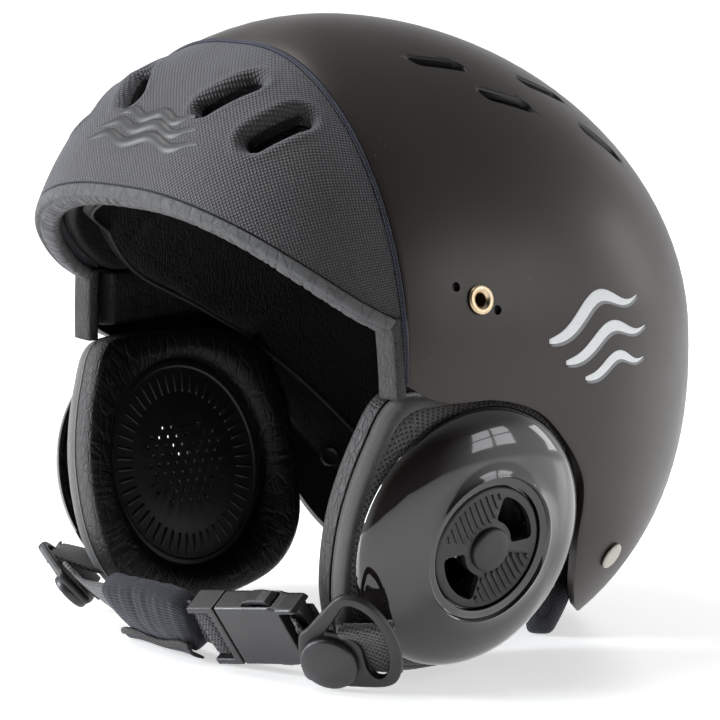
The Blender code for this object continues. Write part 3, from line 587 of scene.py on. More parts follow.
def shell_paint():
    look = Look("shell_paint", (0.012, 0.0092, 0.008), 0.46, Specular_IOR_Level=0.38,
                Coat_Weight=0.22, Coat_Roughness=0.3,
                Specular_Tint=(1, 0.91, 0.85, 1))
    look.tint((0.020, 0.016, 0.0145), look.noise(14), 0.35, 0.75, 0, 0.5)
    specks = look.spread(look.cells(260, "F1"), 0.06, 0.045)
    chosen = look.spread(look.noise(95, 0), 0.66, 0.68)
    look.tint((0.16, 0.15, 0.14), look.times(specks, chosen))
    look.roughen(look.noise(30), 0.34, 0.50)
    look.bump(look.noise(1500, 2), 0.02 * MM, 0.5)
    return look.material


def brow_weave():
    """Plain weave: a bump at every crossing of two sets of threads."""
    look = Look("brow_weave", (0.046, 0.043, 0.045), 0.62, Sheen_Weight=0.4, Sheen_Roughness=0.4,
                Sheen_Tint=(0.85, 0.88, 1, 1))
    pitch = 1.7 * MM
    u, v = look.uv()
    weft = look.wave(look.math("ADD", u, v), pitch)
    warp = look.wave(look.math("SUBTRACT", u, v), pitch)
    threads = look.times(weft, warp)
    uneven = look.noise(900, 2)
    # Painted shade: darker in the hollows between the raised thread crossings.
    look.tint((0.006, 0.006, 0.008), threads, 0.45, 0.05, 0, 0.9)
    # Painted highlight: lighter in patches on the tops of the crossings.
    look.tint((0.18, 0.175, 0.18),
              look.times(look.spread(threads, 0.6, 1.0), look.spread(uneven, 0.4, 0.8)))
    look.tint((0.045, 0.038, 0.036), look.noise(22), 0.4, 0.8, 0, 0.35)
    look.bump(look.noise(60), 0.4 * MM, 0.35)
    look.bump(threads, 0.45 * MM, 0.9)
    return look.material


def leather(name, colour, crease_shading, roughness, grain=1.0, folds=0.6, gathered=False,
            crease_scale=210):
    """Soft leather: fine grain, branching creases and, if gathered, folds towards the ear hole."""
    look = Look(name, colour, roughness, Specular_IOR_Level=0.34)
    warp = look.noise(60, 2)
    bent = look.node("VectorMath", {0: look.place, 1: look.node("CombineXYZ", {0: warp, 1: warp})},
                     operation="ADD")
    creases = look.cells(crease_scale, at=look.stretched((1.0, 1.0, 0.45)))
    grain_cells = look.cells(1500)
    # Painted light along the crease grooves: the crease colour is a painted shade where it is darker
    # than the leather, and a painted highlight where it is lighter, as on the cushion.
    look.tint(crease_shading, creases, 0.10, 0.0, 0, 0.5)
    look.roughen(look.noise(300, 2), roughness - 0.1, roughness + 0.12)
    if gathered:
        x, y, z = look.parts(look.place)
        back = look.math("SUBTRACT", y, EAR_CENTRE[1] * MM + HOME[1])
        high = look.math("SUBTRACT", z, EAR_CENTRE[2] * MM)
        turn = look.math("ARCTAN2", high, back)
        far = look.math("SQRT", look.math("ADD", look.math("POWER", back, 2),
                                          look.math("POWER", high, 2)))
        polar = look.node("CombineXYZ", {0: look.times(turn, 4.2), 1: far, 2: x})
        folds_map = look.noise(4.5, 4, 0.6, look.stretched((1.0, 14.0, 14.0), polar))
        look.bump(folds_map, 3.0 * MM, folds)
        # Painted highlight: the cushion, the only gathered leather, has a crease colour lighter than
        # its leather, painted here on the ridges of its folds.
        look.tint(crease_shading, folds_map, 0.57, 0.66, 0, 0.5)
    else:
        look.bump(look.noise(130, 4, 0.6, look.stretched((1, 1, 0.35), bent)), 1.2 * MM, folds)
    look.bump(look.spread(creases, 0.0, 0.12), 0.25 * MM, 0.7)
    look.bump(look.spread(grain_cells, 0.0, 0.3), 0.06 * MM, grain)
    return look.material


def open_mesh():
    """Open diagonal knit: slanted rows of narrow holes between rounded threads; the holes are not cut
    but painted near black, a painted shade.
    """
    look = Look("open_mesh", (0.030, 0.026, 0.024), 0.75, Sheen_Weight=0.3, Sheen_Roughness=0.5)
    u, v = look.uv()
    pitch = 1.9 * MM
    lean = look.times(v, 0.55)
    row = look.wave(look.math("ADD", u, lean), pitch)
    other = look.wave(look.math("SUBTRACT", u, look.times(v, 1.5)), pitch * 1.25)
    open_part = look.times(row, other)
    fibre = look.noise(2500, 2)
    # Painted shade: the holes are painted near black.
    look.tint((0.003, 0.003, 0.003), open_part, 0.42, 0.58)
    # Painted highlight: lighter, with fine fibres, on the middles of the raised threads.
    look.tint((0.10, 0.09, 0.083), look.times(look.spread(open_part, 0.25, 0.05), fibre))
    look.bump(look.spread(open_part, 0.5, 0.1), 0.7 * MM, 1.0)
    look.bump(fibre, 0.1 * MM, 0.6)
    return look.material


def felt():
    look = Look("foam_felt", (0.020, 0.0165, 0.015), 0.95, Sheen_Weight=0.6, Sheen_Roughness=0.6)
    look.tint((0.045, 0.037, 0.034), look.noise(700), 0.5, 0.8)
    look.bump(look.noise(1400, 4, 0.7), 0.3 * MM, 0.8)
    return look.material


def moulded(name, colour, roughness, texture=0.12):
    """Plastic with the fine texture of its mould and a little wear."""
    look = Look(name, colour, roughness, Specular_IOR_Level=0.6)
    look.bump(look.noise(900, 3, 0.6), texture * MM, 0.7)
    look.roughen(look.noise(80), roughness - 0.08, roughness + 0.12)
    look.tint(tuple(min(1, 1.9 * c) for c in colour), look.noise(140, 4), 0.6, 0.8, 0, 0.6)
    return look.material


def smoked_cup():
    """Glossy smoked plastic with the faintest haze and hairline scratches."""
    look = Look("smoked_cup", (0.0085, 0.0065, 0.006), 0.07, Coat_Weight=0.6, Coat_Roughness=0.03,
                Specular_IOR_Level=0.62)
    haze = look.noise(45, 4, 0.6)
    scratches = look.noise(90, 1, at=look.stretched((1, 30, 3)))
    look.roughen(look.times(haze, scratches), 0.03, 0.22)
    look.bump(look.noise(25, 1), 0.15 * MM, 0.25)
    return look.material


def webbing_weave():
    """Ribbed webbing: short ribs across the band, in rows that step sideways."""
    look = Look("webbing_weave", (0.024, 0.023, 0.026), 0.7, Sheen_Weight=0.4, Sheen_Roughness=0.4)
    u, v = look.uv()
    ribs = look.wave(v, 2.4 * MM)
    steps = look.math("ADD", u, look.times(look.spread(ribs, 0.35, 0.65), 0.7 * MM))
    picks = look.wave(steps, 1.4 * MM)
    height = look.times(look.spread(picks, 0.1, 0.8), look.spread(ribs, 0, 0.5, 0.4, 1))
    # Painted shade: darker in the hollows of the weave.
    look.tint((0.004, 0.004, 0.005), height, 0.4, 0.05)
    # Painted highlight: lighter on the raised tops of the ribs.
    look.tint((0.085, 0.085, 0.095), height, 0.75, 1.0, 0, 0.5)
    look.bump(height, 0.5 * MM, 1.0)
    look.bump(look.noise(2200, 2), 0.08 * MM, 0.5)
    return look.material


def rib_knit(name, colour, ridge_highlight, pitch=2.0):
    """Rib knit: soft ridges along the piece, each with small slanted stitches."""
    look = Look(name, colour, 0.85, Sheen_Weight=0.15, Sheen_Roughness=0.45,
                Sheen_Tint=(0.8, 0.84, 1, 1))
    u, v = look.uv()
    drift = look.times(look.noise(45, 2), 1.2 * MM)
    ridge = look.wave(look.math("ADD", v, drift), pitch * MM)
    slant = look.math("ADD", u, look.times(ridge, 0.6 * MM))
    stitch = look.wave(slant, 1.25 * MM)
    # Painted shade: darker in the grooves between the ridges.
    look.tint((0.004, 0.004, 0.007), ridge, 0.45, 0.05, 0, 0.85)
    # Painted highlight: the lighter colour on the ridge tops, where the stitches rise.
    look.tint(ridge_highlight, look.times(look.spread(ridge, 0.6, 1.0), look.spread(stitch, 0.3, 1.0)))
    look.bump(ridge, 0.5 * MM, 0.8)
    look.bump(stitch, 0.2 * MM, 0.6)
    look.bump(look.noise(1800, 3), 0.15 * MM, 0.6)
    return look.material


def brass():
    look = Look("turned_brass", (0.56, 0.43, 0.27), 0.28, Metallic=1.0)
    look.tint((0.75, 0.72, 0.66), look.noise(260), 0.45, 0.8, 0, 0.5)
    look.roughen(look.noise(200, at=look.stretched((1, 12, 1))), 0.18, 0.42)
    look.bump(look.noise(700), 0.05 * MM, 0.5)
    return look.material


def painted(name, colour, roughness):
    look = Look(name, colour, roughness)
    look.tint(tuple(0.7 * c for c in colour), look.noise(330), 0.55, 0.8, 0, 0.4)
    look.bump(look.noise(900), 0.06 * MM, 0.5)
    return look.material


LOOKS = {
    "shell": shell_paint(),
    "brow": brow_weave(),
    # Each rib knit's last colour is a painted highlight on its ridge tops.
    "piping": rib_knit("piping_cord", (0.030, 0.034, 0.055), (0.12, 0.13, 0.18), 0.9),
    # Each leather's second colour is painted along its creases; where it is darker than the leather,
    # it is a painted shade there.
    "grey": leather("grey_leather", (0.088, 0.088, 0.090), (0.035, 0.035, 0.038), 0.5, folds=0.5),
    "edge": leather("edge_leather", (0.024, 0.022, 0.021), (0.018, 0.016, 0.016), 0.5, folds=0.12,
                    crease_scale=500),
    "black": leather("black_leather", (0.0030, 0.0023, 0.0021), (0.001, 0.001, 0.001), 0.55,
                     folds=0.2, crease_scale=620),
    "smooth": leather("smooth_leather", (0.0042, 0.0034, 0.0031), (0.002, 0.002, 0.002), 0.5,
                      grain=0.5, folds=0.1, crease_scale=700),
    # The cushion's crease colour is lighter than its leather: a painted highlight along its creases
    # and on its fold ridges.
    "cushion": leather("cushion_leather", (0.0034, 0.0028, 0.0030), (0.016, 0.014, 0.014), 0.36,
                       folds=0.28, gathered=True),
    "mesh": open_mesh(),
    # The rim leather is a lighter copy of the cushion leather: a painted highlight on the cushion's
    # outer face.
    "rim": leather("rim_highlight_leather", (0.040, 0.037, 0.037), (0.016, 0.014, 0.014), 0.4, folds=0.2,
                   crease_scale=420),
    "felt": felt(),
    "plastic": moulded("textured_plastic", (0.012, 0.0115, 0.013), 0.36),
    "rotor": moulded("rotor_plastic", (0.017, 0.0145, 0.0135), 0.42, 0.05),
    "inner": moulded("inner_plastic", (0.0055, 0.0048, 0.0047), 0.45, 0.06),
    "cup": smoked_cup(),
    "webbing": webbing_weave(),
    # Here too the last colour is the painted highlight on the ridge tops.
    "knit": rib_knit("rib_knit", (0.0055, 0.0058, 0.010), (0.015, 0.016, 0.026), 1.2),
    "flap": rib_knit("navy_flap", (0.006, 0.007, 0.014), (0.014, 0.017, 0.028), 0.9),
    "brass": brass(),
    "rivet": painted("rivet_paint", (0.62, 0.59, 0.53), 0.38),
    "decal": painted("decal_print", (0.80, 0.82, 0.83), 0.45),
    "decal_shadow": painted("decal_shadow", (0.20, 0.205, 0.21), 0.45),
    "emblem": moulded("emblem_rubber", (0.0045, 0.0045, 0.0055), 0.45, 0.04),
}


# ---- shell, with its vents, inserts, rivets and print ----

INSERT_POINT = (100.6, -13.6, 135.4)
DIMPLE_POINTS = ((99.2, -23.3, 140.6), (101.3, -6.2, 131.3))
RIVET_POINT = (78.6, 69, 30.4)
SHELL_VENTS = (
    ((48.5, 8.5, 214), (0.12, 1, -0.15)),
    ((62.3, 29.5, 201), (0.08, 1, -0.30)),
    ((49, 57, 202.5), (-0.06, 1, -0.35)),
    ((60.8, 76, 183), (0.0, 1, -0.65)),
)
BROW_VENTS = (
    ((28, -69, 205), (0.65, 0.78, 0.5)),
    ((54.6, -67.6, 194.2), (0.38, 0.93, 0.45)),
)
VENT_LENGTH, VENT_WIDTH = 23 * MM, 5.2 * MM
BROW_VENT_LENGTH, BROW_VENT_WIDTH = 27 * MM, 10 * MM
CHAMFER = 0.7 * MM
VENT_SLANT = 0.5                          # how far a shell vent's ends lean
CUT_DEPTH = 22                            # millimetres that the vents' cutters reach in


def shell_vent_cutters():
    cutters = []
    for side, centre, along in both_sides(SHELL_VENTS):
        slot = capsule(VENT_LENGTH, VENT_WIDTH, -VENT_SLANT * side)
        mouth = capsule(VENT_LENGTH + 2 * CHAMFER, VENT_WIDTH + 2 * CHAMFER, -VENT_SLANT * side)
        cutters.append(surface_cutter(centre, along, (slot, slot, mouth, mouth),
                                      mm((-CUT_DEPTH, -0.6, 0.05, 3))))
    return cutters


def brow_vent_cutters(shrink, top, corners=9):
    slot = capsule(BROW_VENT_LENGTH - shrink, BROW_VENT_WIDTH - shrink, corners=corners)
    return [surface_cutter(centre, along, (slot, slot), mm((-CUT_DEPTH, top)))
            for _, centre, along in both_sides(BROW_VENTS)]


def make_shell():
    columns = 181
    seam = seam_line(SEAM_Y + SEAM_HALF_GAP, 107 * MM, columns)
    rim = mm([(100.4, -44.7, 107), (101.4, -36, 102.2), (102, -26, 99.9), (102.7, -7, 99.3),
              (102.2, 12.5, 93.2), (100.4, 27.6, 80), (97.5, 37.5, 67), (95, 41, 56),
              (89, 43, 40), (78, 52, 20), (66, 66, 6), (55, 76, 2.6), (38, 90, 4.5),
              (18, 99, 7.5), (0, 102, 8.5)])
    widest = mm([(100.4, -44.7, 107), (102, -30, 112), (103, -5, 122), (103, 25, 125),
                 (100, 55, 118), (92, 85, 108), (75, 110, 100), (45, 130, 95), (0, 141, 92)])
    rim, widest = (smooth_line(mirrored(half), columns) for half in (rim, widest))
    for line in (rim, widest):
        line[0], line[-1] = seam[0], seam[-1]
    grid = np.concatenate([fan(seam, widest, 36), fan(widest, rim, 16)[1:]])
    shell = layer("shell_skin", grid, 0.0, -SHELL_WALL, "shell")
    soften(shell, 0.9 * MM)
    cutters = shell_vent_cutters()
    for side, _ in SIDES:
        for point, radius, depth in ((INSERT_POINT, 3.9, 8), (RIVET_POINT, 2.5, 8),
                                     (DIMPLE_POINTS[0], 1.75, 2), (DIMPLE_POINTS[1], 1.75, 2)):
            hole = circle(radius * MM, 24)
            cutters.append(surface_cutter(mm(flipped(point, side)), (0, 1, 0), (hole, hole),
                                          mm((-depth, 3))))
    # The walls and floors of these cuts take the darker inner plastic: a painted shade inside the
    # vents, holes and dimples.
    cut(shell, cutters, walls="inner")
    crisp(shell, 40)
    finish(shell, "helmet", "shell", "outer_shell")


def surface_turned(name, point, profile, look, slot, node, hole=True):
    """A turned piece set into the shell, with its axis along the shell's normal."""
    centre, axes = tangent_frame(mm(point), (0, 1, 0))
    dress(name, placed(turned(profile, 48, hole), centre, axes), look, "helmet", slot, node)


def make_fasteners():
    thread = [(2.3 + 0.25 * (k % 2), 0.2 - 0.5 * k) for k in range(16)]
    insert = ([(3.4, -7.4), (3.5, -7.2), (3.5, 0.35), (5.2, 0.35), (5.3, 0.5), (5.3, 0.9),
               (5.1, 1.15), (4.7, 1.3), (3.5, 1.3), (3.2, 1.15), (2.6, 0.5)] + thread)
    rivet = [(0, -6.4), (2.1, -6.4), (2.1, 0.4), (5.1, 0.4), (5.2, 0.55), (5.2, 0.9), (5.0, 1.2),
             (4.4, 1.45), (3, 1.6), (0, 1.68)]
    for side, tag in SIDES:
        surface_turned("insert_" + tag, flipped(INSERT_POINT, side), insert, "brass", "brass",
                       "temple_insert_" + tag)
        surface_turned("rivet_" + tag, flipped(RIVET_POINT, side), rivet, "rivet", "rivet",
                       "rear_rivet_" + tag, hole=False)


def ribbon_on_shell(path, widths, lift, height, crown=True):
    """A strip that follows the shell; its section is a low crown, or flat like a print."""
    sections = []
    for (point, tangent), width in zip(walk(shell_surface(path)), widths):
        side = unit(np.cross(shell_normal(point), tangent))
        ring = []
        for turn in full_turn(14):
            rise = max(math.sin(turn), -0.2)
            rise = rise if crown else round(rise + 0.3)
            spot = point + side * width * math.cos(turn)
            ring.append(shell_surface(spot, lift + rise * height))
        sections.append(ring)
    return skin(sections)


DECAL_STROKES = (
    # plain tapering waves: start and end in y and z, rise in the middle, widest half width
    ((16, 118), (70, 131), 5.0, 2.5),
    ((24, 110), (74, 119), 4.0, 2.3),
    ((34, 103.5), (72, 107), 3.0, 1.9),
)


def make_decals():
    """Three plain wave strokes printed on each side, with a darker edge below."""
    t = np.linspace(0, 1, 48)
    for side, tag in SIDES:
        for look, shift, lift, grow in (("decal_shadow", -0.9, 0.03, 0.35), ("decal", 0, 0.10, 0)):
            strokes = []
            for (y0, z0), (y1, z1), rise, width in DECAL_STROKES:
                bend = rise * np.sin(math.pi * t) - 0.5 * rise * np.sin(3 * math.pi * t)
                path = mm(np.stack([np.full(48, side * 98.0), y0 + (y1 - y0) * t - shift,
                                    z0 + (z1 - z0) * t + bend + shift], axis=1))
                widths = (width + grow) * MM * np.sin(math.pi * (0.04 + 0.92 * t) ** 0.7)
                strokes.append(ribbon_on_shell(path, widths, lift * MM, 0.05 * MM, crown=False))
            dress(look + "_" + tag, joined(strokes), look, "helmet", "rivet")


# ---- brow panel, its emblem, its trim and the piping ----

BROW_EDGE = mm([(98.8, -47.3, 130.5), (93, -61, 138.4), (80.5, -77.5, 151.6), (65.2, -87.6, 161.3),
                (44.8, -94.3, 168.4), (23, -96.6, 172), (0, -97, 172.8)])


def slot_distance(points, centre, along, length, width):
    """Distance of points from a slot on the shell; negative inside it."""
    point, axes = tangent_frame(centre, along)
    local = (points - point) @ axes.T
    half = (length - width) / 2
    beyond = np.maximum(np.abs(local[..., 0]) - half, 0)
    distance = np.hypot(beyond, local[..., 1]) - width / 2
    return np.where(np.abs(local[..., 2]) < 15 * MM, distance, 1.0)


def weave_map(points):
    """Where the fabric's threads lie: a projection that keeps their angles everywhere."""
    rays = points - SHELL_CENTRE
    rays = rays / np.linalg.norm(rays, axis=-1)[..., None]
    middle = unit((0, -0.75, 0.66))
    up = unit(np.cross(middle, (1, 0, 0)))
    scale = 2 * 112 * MM / (1 + rays @ middle)
    return np.stack([rays[..., 0] * scale, (rays @ up) * scale], axis=-1)


def brow_bulge(points):
    """The fabric stands a little prouder at both upper corners of the brow."""
    rays = points - SHELL_CENTRE
    rays = rays / np.linalg.norm(rays, axis=-1)[..., None]
    height = np.zeros(points.shape[:2])
    for side, _ in SIDES:
        away = np.linalg.norm(rays - unit((0.45 * side, -0.55, 0.70)), axis=-1)
        height += BROW_BULGE * np.exp(-(away / 0.36) ** 2)
    return height * np.clip((SEAM_Y - points[..., 1] - 2 * MM) / (14 * MM), 0, 1)


def make_brow():
    columns = 251
    seam = seam_line(SEAM_Y - SEAM_HALF_GAP, 130.5 * MM, columns)
    edge = shell_surface(smooth_line(mirrored(BROW_EDGE), columns))
    edge[0], edge[-1] = seam[0], seam[-1]
    grid = fan(seam, edge, 96)
    outer = shell_surface(grid)
    sink = np.zeros(outer.shape[:2])
    lip, inset, sunk = 4.2 * MM, 1.5 * MM, 3.6 * MM
    for _, centre, along in both_sides(BROW_VENTS):
        away = slot_distance(outer, centre, along, BROW_VENT_LENGTH - inset,
                             BROW_VENT_WIDTH - inset)
        t = np.clip(1 - away / lip, 0, 1.15)
        raised = 0.35 * MM * np.exp(-((away - 4.0 * MM) / (1.6 * MM)) ** 2)
        sink += sunk * t ** 2.6 - raised
    outer = shell_surface(grid, brow_bulge(outer) - sink)
    solid = two_sided(outer, shell_surface(grid, -BROW_WALL), flat=weave_map(shell_surface(grid)))
    brow = piece("brow_fabric", solid, "brow")
    soften(brow, 1.2 * MM)
    # The vents' walls take the near-black smooth leather: a painted shade inside the vents.
    cut(brow, brow_vent_cutters(1.8 * MM, 9, corners=14), walls="smooth")
    crisp(brow, 50)
    finish(brow, "helmet", "brow_fabric", "brow_panel")


def make_emblem():
    """Three low parallel waves moulded into the fabric, a plain ornament."""
    x = np.linspace(-29, 29, 90)
    for k, height in enumerate((185.5, 193, 200.5)):
        reach = 33 - 4 * k
        across = x * reach / 29
        wave = 2.2 * np.sin(across / reach * 2.5 * math.pi + 0.4)
        path = mm(np.stack([across, np.full(90, -85.0), height + wave], axis=1))
        widths = 3.2 * MM * np.sqrt(np.clip(1.02 - (x / 29) ** 4, 0.02, 1))
        dress(f"emblem_wave_{k + 1}", ribbon_on_shell(path, widths, -0.2 * MM, 2.2 * MM), "emblem",
              "helmet", "brow_fabric")


def edge_frames(line):
    """Outward and downward directions along an edge on the shell."""
    frames = []
    for point, tangent in walk(line):
        tangent = unit(tangent)
        out = shell_normal(point)
        out = unit(out - tangent * (out @ tangent))
        down = np.cross(tangent, out)
        frames.append((out, -down if down[2] > 0 else down))
    return frames


def make_trim():
    """Leather round the brow's edge: a smooth bead in front, puckered where it turns inwards."""
    count = 420
    line = shell_surface(smooth_line(mirrored(BROW_EDGE), count))[4:-4]
    profile = spline(mm([(0.75, 0.7), (1.0, 2.2), (0.6, 4.0), (-0.6, 4.9), (-1.9, 4.5), (-3.0, 5.3),
                         (-5.5, 5.7), (-8, 5.4), (-9.3, 3.4), (-8.6, 0.9), (-4, 0.8)]), 3,
                     closed=True)
    rng = np.random.default_rng(5)
    folds = np.cumsum(rng.uniform(2.2, 6.5, 90)) * MM
    leans = rng.uniform(-0.5, 0.5, 90)
    deep = rng.uniform(0.25, 0.8, 90) * MM
    station = np.concatenate([[0], np.cumsum(np.linalg.norm(np.diff(line, axis=0), axis=1))])
    sections = []
    for s, point, (out, down) in zip(station, line, edge_frames(line)):
        ring = []
        for o, d in profile:
            turned_in = np.clip((-o - 1.5 * MM) / (2 * MM), 0, 1)
            near = (s + leans * (o + 5 * MM) - folds) / (0.55 * MM)
            pucker = (deep * np.exp(-near ** 2)).sum() * turned_in
            ring.append(point + out * o + down * (d - pucker))
        sections.append(ring)
    dress("brow_leather_edge", skin(sections), "grey", "helmet", "grey_leather", "brow_edge_trim")


def make_piping():
    radius = 0.95 * MM
    line = seam_line(SEAM_Y, 107.5 * MM, 240)
    sections = []
    for (point, tangent), (out, _) in zip(walk(line), edge_frames(line)):
        side = unit(np.cross(tangent, out))
        sections.append(hoop(point - out * 0.2 * MM, out * radius, side * radius))
    dress("seam_cord", skin(sections), "piping", "helmet", "piping", "seam_piping")


# ---- liners inside the helmet ----

def make_crown_liner():
    half = mm([(0, -97, 174), (23, -96.6, 173.2), (44.8, -94.3, 169.6), (65.2, -87.6, 162.6),
               (80.5, -77.5, 153), (93, -61, 140), (99, -46, 132), (101, -25, 131.5),
               (102, 5, 131.5), (100, 50, 131.5), (88, 95, 131.5), (60, 126, 131.5),
               (30, 138, 131.5), (0, 141, 131.5)])
    loop = list(half) + [(-x, y, z) for x, y, z in reversed(half[1:-1])]
    rim = shell_surface(smooth_line(loop, 120, closed=True))
    crown = np.repeat((SHELL_CENTRE + mm((0, -8, 100)))[None, :], 120, axis=0)
    liner = layer("crown_pad", fan(crown, rim, 24), -BROW_WALL - 1 * MM, -LINER_DEPTH,
                  "black", wraps=True)
    soften(liner, 2 * MM)
    cut(liner, shell_vent_cutters() + brow_vent_cutters(2 * MM, 4))
    finish(liner, "helmet", "foam_liner", "crown_liner")


def soft_layer(name, top, low, rows, columns, outer, inner, look, *nodes, cap=1.0 * MM):
    """A padded layer between two lines, with rounded edges, blown up a little."""
    grid = fan(smooth_line(top, columns), smooth_line(low, columns), rows)
    pad = layer(name, grid, outer, inner, look)
    soften(pad, 1.3 * MM)
    plump(pad, cap)
    finish(pad, "helmet", "black_leather", *nodes)


def liner_seam(name, line, count, depth, radius=0.75 * MM):
    """A thin round cord along a line, at a depth under the outer surface."""
    sections = []
    for point, tangent in walk(shell_surface(smooth_line(line, count), -depth)):
        side = unit(np.cross(tangent, point - SHELL_CENTRE))
        out = unit(np.cross(side, tangent))
        sections.append(hoop(point, radius * out, radius * side))
    dress(name, skin(sections), "edge", "helmet", "black_leather")


def make_liners():
    top = mm([(84, -40, 160), (80, -66, 168), (60, -81, 180), (30, -87, 187), (0, -89, 189)])
    low = mm([(88, -30, 131), (86, -62, 153), (64, -84.5, 164), (32, -92, 172.5), (0, -94, 174.5)])
    soft_layer("brow_band", mirrored(top), mirrored(low), 10, 80, -LINER_DEPTH - 1.0 * MM,
               -LINER_DEPTH - 4.5 * MM, "smooth", "brow_fit_band")
    liner_seam("brow_band_seam", mirrored(low[1:]), 120, LINER_DEPTH + 5.0 * MM)
    for side, tag in SIDES:
        top = sided(((88, -52, 168), (92, -10, 168), (90, 40, 150), (80, 75, 130)), side)
        low = sided(((86, -62, 153), (93, -38, 131), (94, -5, 114), (90, 25, 97)), side)
        soft_layer("side_band_" + tag, top, low, 12, 40, -LINER_DEPTH - 1.2 * MM,
                   -LINER_DEPTH - 5.6 * MM, "smooth")
        liner_seam("side_seam_" + tag, low, 60, LINER_DEPTH + 5.0 * MM)
        top = sided(((98, -46, 130.8), (101, -20, 130.8), (102, 10, 130.8), (102, 28, 130.8)), side)
        low = sided(((99.5, -45, 107.5), (102, -22, 107.5), (103, 8, 107.5), (102, 28, 100)), side)
        soft_layer("side_pad_" + tag, top, low, 12, 30, -SHELL_WALL - 1.4 * MM,
                   -LINER_DEPTH + 0.5 * MM, "black", "side_liner_" + tag)
        strip = smooth_line(sided(((95.2, -48.2, 103), (94.6, -48.6, 116), (93.2, -49, 131)), side),
                            24)
        level = np.repeat([[1.0, 0.0, 0.0]], 24, axis=0)
        dress("temple_strip_" + tag, ribbon(strip, level, 11 * MM, 5 * MM, 28), "edge", "helmet",
              "grey_leather")
        low = sided(((90, 25, 97), (86, 46, 80), (77, 66, 58), (66, 80, 36)), side)
        liner_seam("rear_seam_" + tag, low, 50, LINER_DEPTH + 2.8 * MM, 0.9 * MM)
    top = mm([(102, 29.5, 130.8), (96, 72, 130.8), (70, 118, 130.8), (34, 137, 130.8),
              (0, 141, 130.8)])
    low = mm([(101.5, 29.5, 101), (95, 48, 56), (72, 80, 24), (40, 108, 24), (0, 120, 24)])
    soft_layer("rear_pad", mirrored(top), mirrored(low), 24, 90, -BROW_WALL - 1.2 * MM,
               -LINER_DEPTH - 1 * MM, "black", "rear_liner", cap=1.5 * MM)


def make_neck_pad():
    """Rib-knit roll inside the lower rear edge."""
    line = mm([(66.5, 50, 12), (57.5, 60, 12), (41.5, 75.5, 12), (22, 87, 12), (0, 91, 12)])
    line = smooth_line(mirrored(line), 90)
    profile = spline(mm([(-7, -11.8), (0.5, -11.8), (3.4, -7.5), (6.6, 0), (6.2, 6), (2, 9.6),
                         (-5, 9.6), (-7.8, 5), (-8.3, -6)]), 3, closed=True)
    ends = np.minimum(np.arange(90), np.arange(90)[::-1])
    sections = []
    for end, (point, tangent) in zip(ends, walk(line)):
        out = unit((-tangent[1], tangent[0], 0.0))
        out = -out if out @ (point - SHELL_CENTRE) < 0 else out
        size = math.sqrt(1 - max(0, 1 - (end + 0.3) / 4) ** 2)
        sections.append([point + out * (u * size - 2.5 * MM) + np.array([0, 0, v * size])
                         for u, v in profile])
    vertices, faces, uvs = skin(sections)
    vertices[:, 2] = np.maximum(vertices[:, 2], 0.2 * MM)
    roll = piece("neck_roll", (vertices, faces, uvs), "knit")
    plump(roll, 1.2 * MM)
    finish(roll, "helmet", "ribbed_knit", "neck_pad")


def make_snaps():
    depth = -(LINER_DEPTH / MM + 2)
    profile = [(0, depth - 0.5), (2.6, depth - 0.5), (2.6, depth - 0.4), (3.9, depth - 0.4),
               (4.1, depth - 0.7), (4.0, depth - 1.6), (3.6, depth - 2.1), (3.1, depth - 2.1),
               (2.7, depth - 1.5), (1.9, depth - 1.3), (0, depth - 1.3)]
    for side, tag in SIDES:
        surface_turned("snap_" + tag, (side * 90, 58, 42), profile, "inner", "plastic",
                       "liner_snap_" + tag, hole=False)


# ---- ears ----

def ear_axes(side):
    """Rearwards, upwards and outwards at the ear."""
    return np.array([(0.0, 1.0, 0.0),
                     (side * math.sin(EAR_TILT), 0.0, math.cos(EAR_TILT)),
                     (side * math.cos(EAR_TILT), 0.0, -math.sin(EAR_TILT))])


def at_ear(body, side):
    """A body moved from ear coordinates (rear, up, out) to helmet coordinates."""
    return placed(body, mm(flipped(EAR_CENTRE, side)), ear_axes(side))


PAD_OUTLINE = ((-33, 50), (-42, 34), (-48, 12), (-49, -8), (-46.5, -26), (-40, -40), (-28, -49.5),
               (-8, -53.5), (14, -51.5), (35, -44), (47, -29), (49.5, -8), (49, 12), (46, 30),
               (36, 44), (15, 51), (-12, 52))


EAR_HOLE = 26 * MM
CUSHION_HOLE = mm((36, 41))               # half width, half height
# The faces picked out by these two form the cushion's outer face, which is painted lighter as a
# painted highlight.
RIM_FACING, RIM_FROM = 0.72, 38 * MM      # where the cushion's outer face begins


def pad_ring(loop, hole, steps=4, points=144):
    """A ring from a hole to the pad's outline; loop gives (share of way out, height).

    hole is its radius, or its half width and half height.
    """
    lowest = FLOOR_GAP - EAR_CENTRE[2] * MM
    loop = spline(loop, steps, closed=True)
    sections = []
    for outside in smooth_line(mm(PAD_OUTLINE), points, closed=True):
        inside = hole * unit(outside)
        section = []
        for share, height in loop:
            x, y = inside * (1 - share) + outside * share
            out = height * MM
            floor = (lowest + out * math.sin(EAR_TILT)) / math.cos(EAR_TILT)
            section.append((x, max(y, floor), out))
        sections.append(section)
    return skin(sections, closed=True)


def sector(inner, outer, first, last, corner=1.7 * MM, steps=7):
    """Outline of a ring sector with rounded corners, angles in degrees."""
    first, last = math.radians(first), math.radians(last)
    outline = []
    for radius, edge, sense, start, arc, points in (
            (outer - corner, last, -1, 0, 0, 2), (inner + corner, last, -1, 90, inner, 8),
            (inner + corner, first, 1, 180, 0, 2), (outer - corner, first, 1, 270, outer, 14)):
        middle = edge + sense * math.asin(corner / radius)
        for turn in middle + np.radians(np.linspace(start, start + 90, steps)):
            outline.append(radius * arm(middle) + corner * arm(turn))
        for turn in np.linspace(middle, first + last - middle, points)[1:-1]:
            outline.append(arc * arm(turn))
    return np.array(outline)


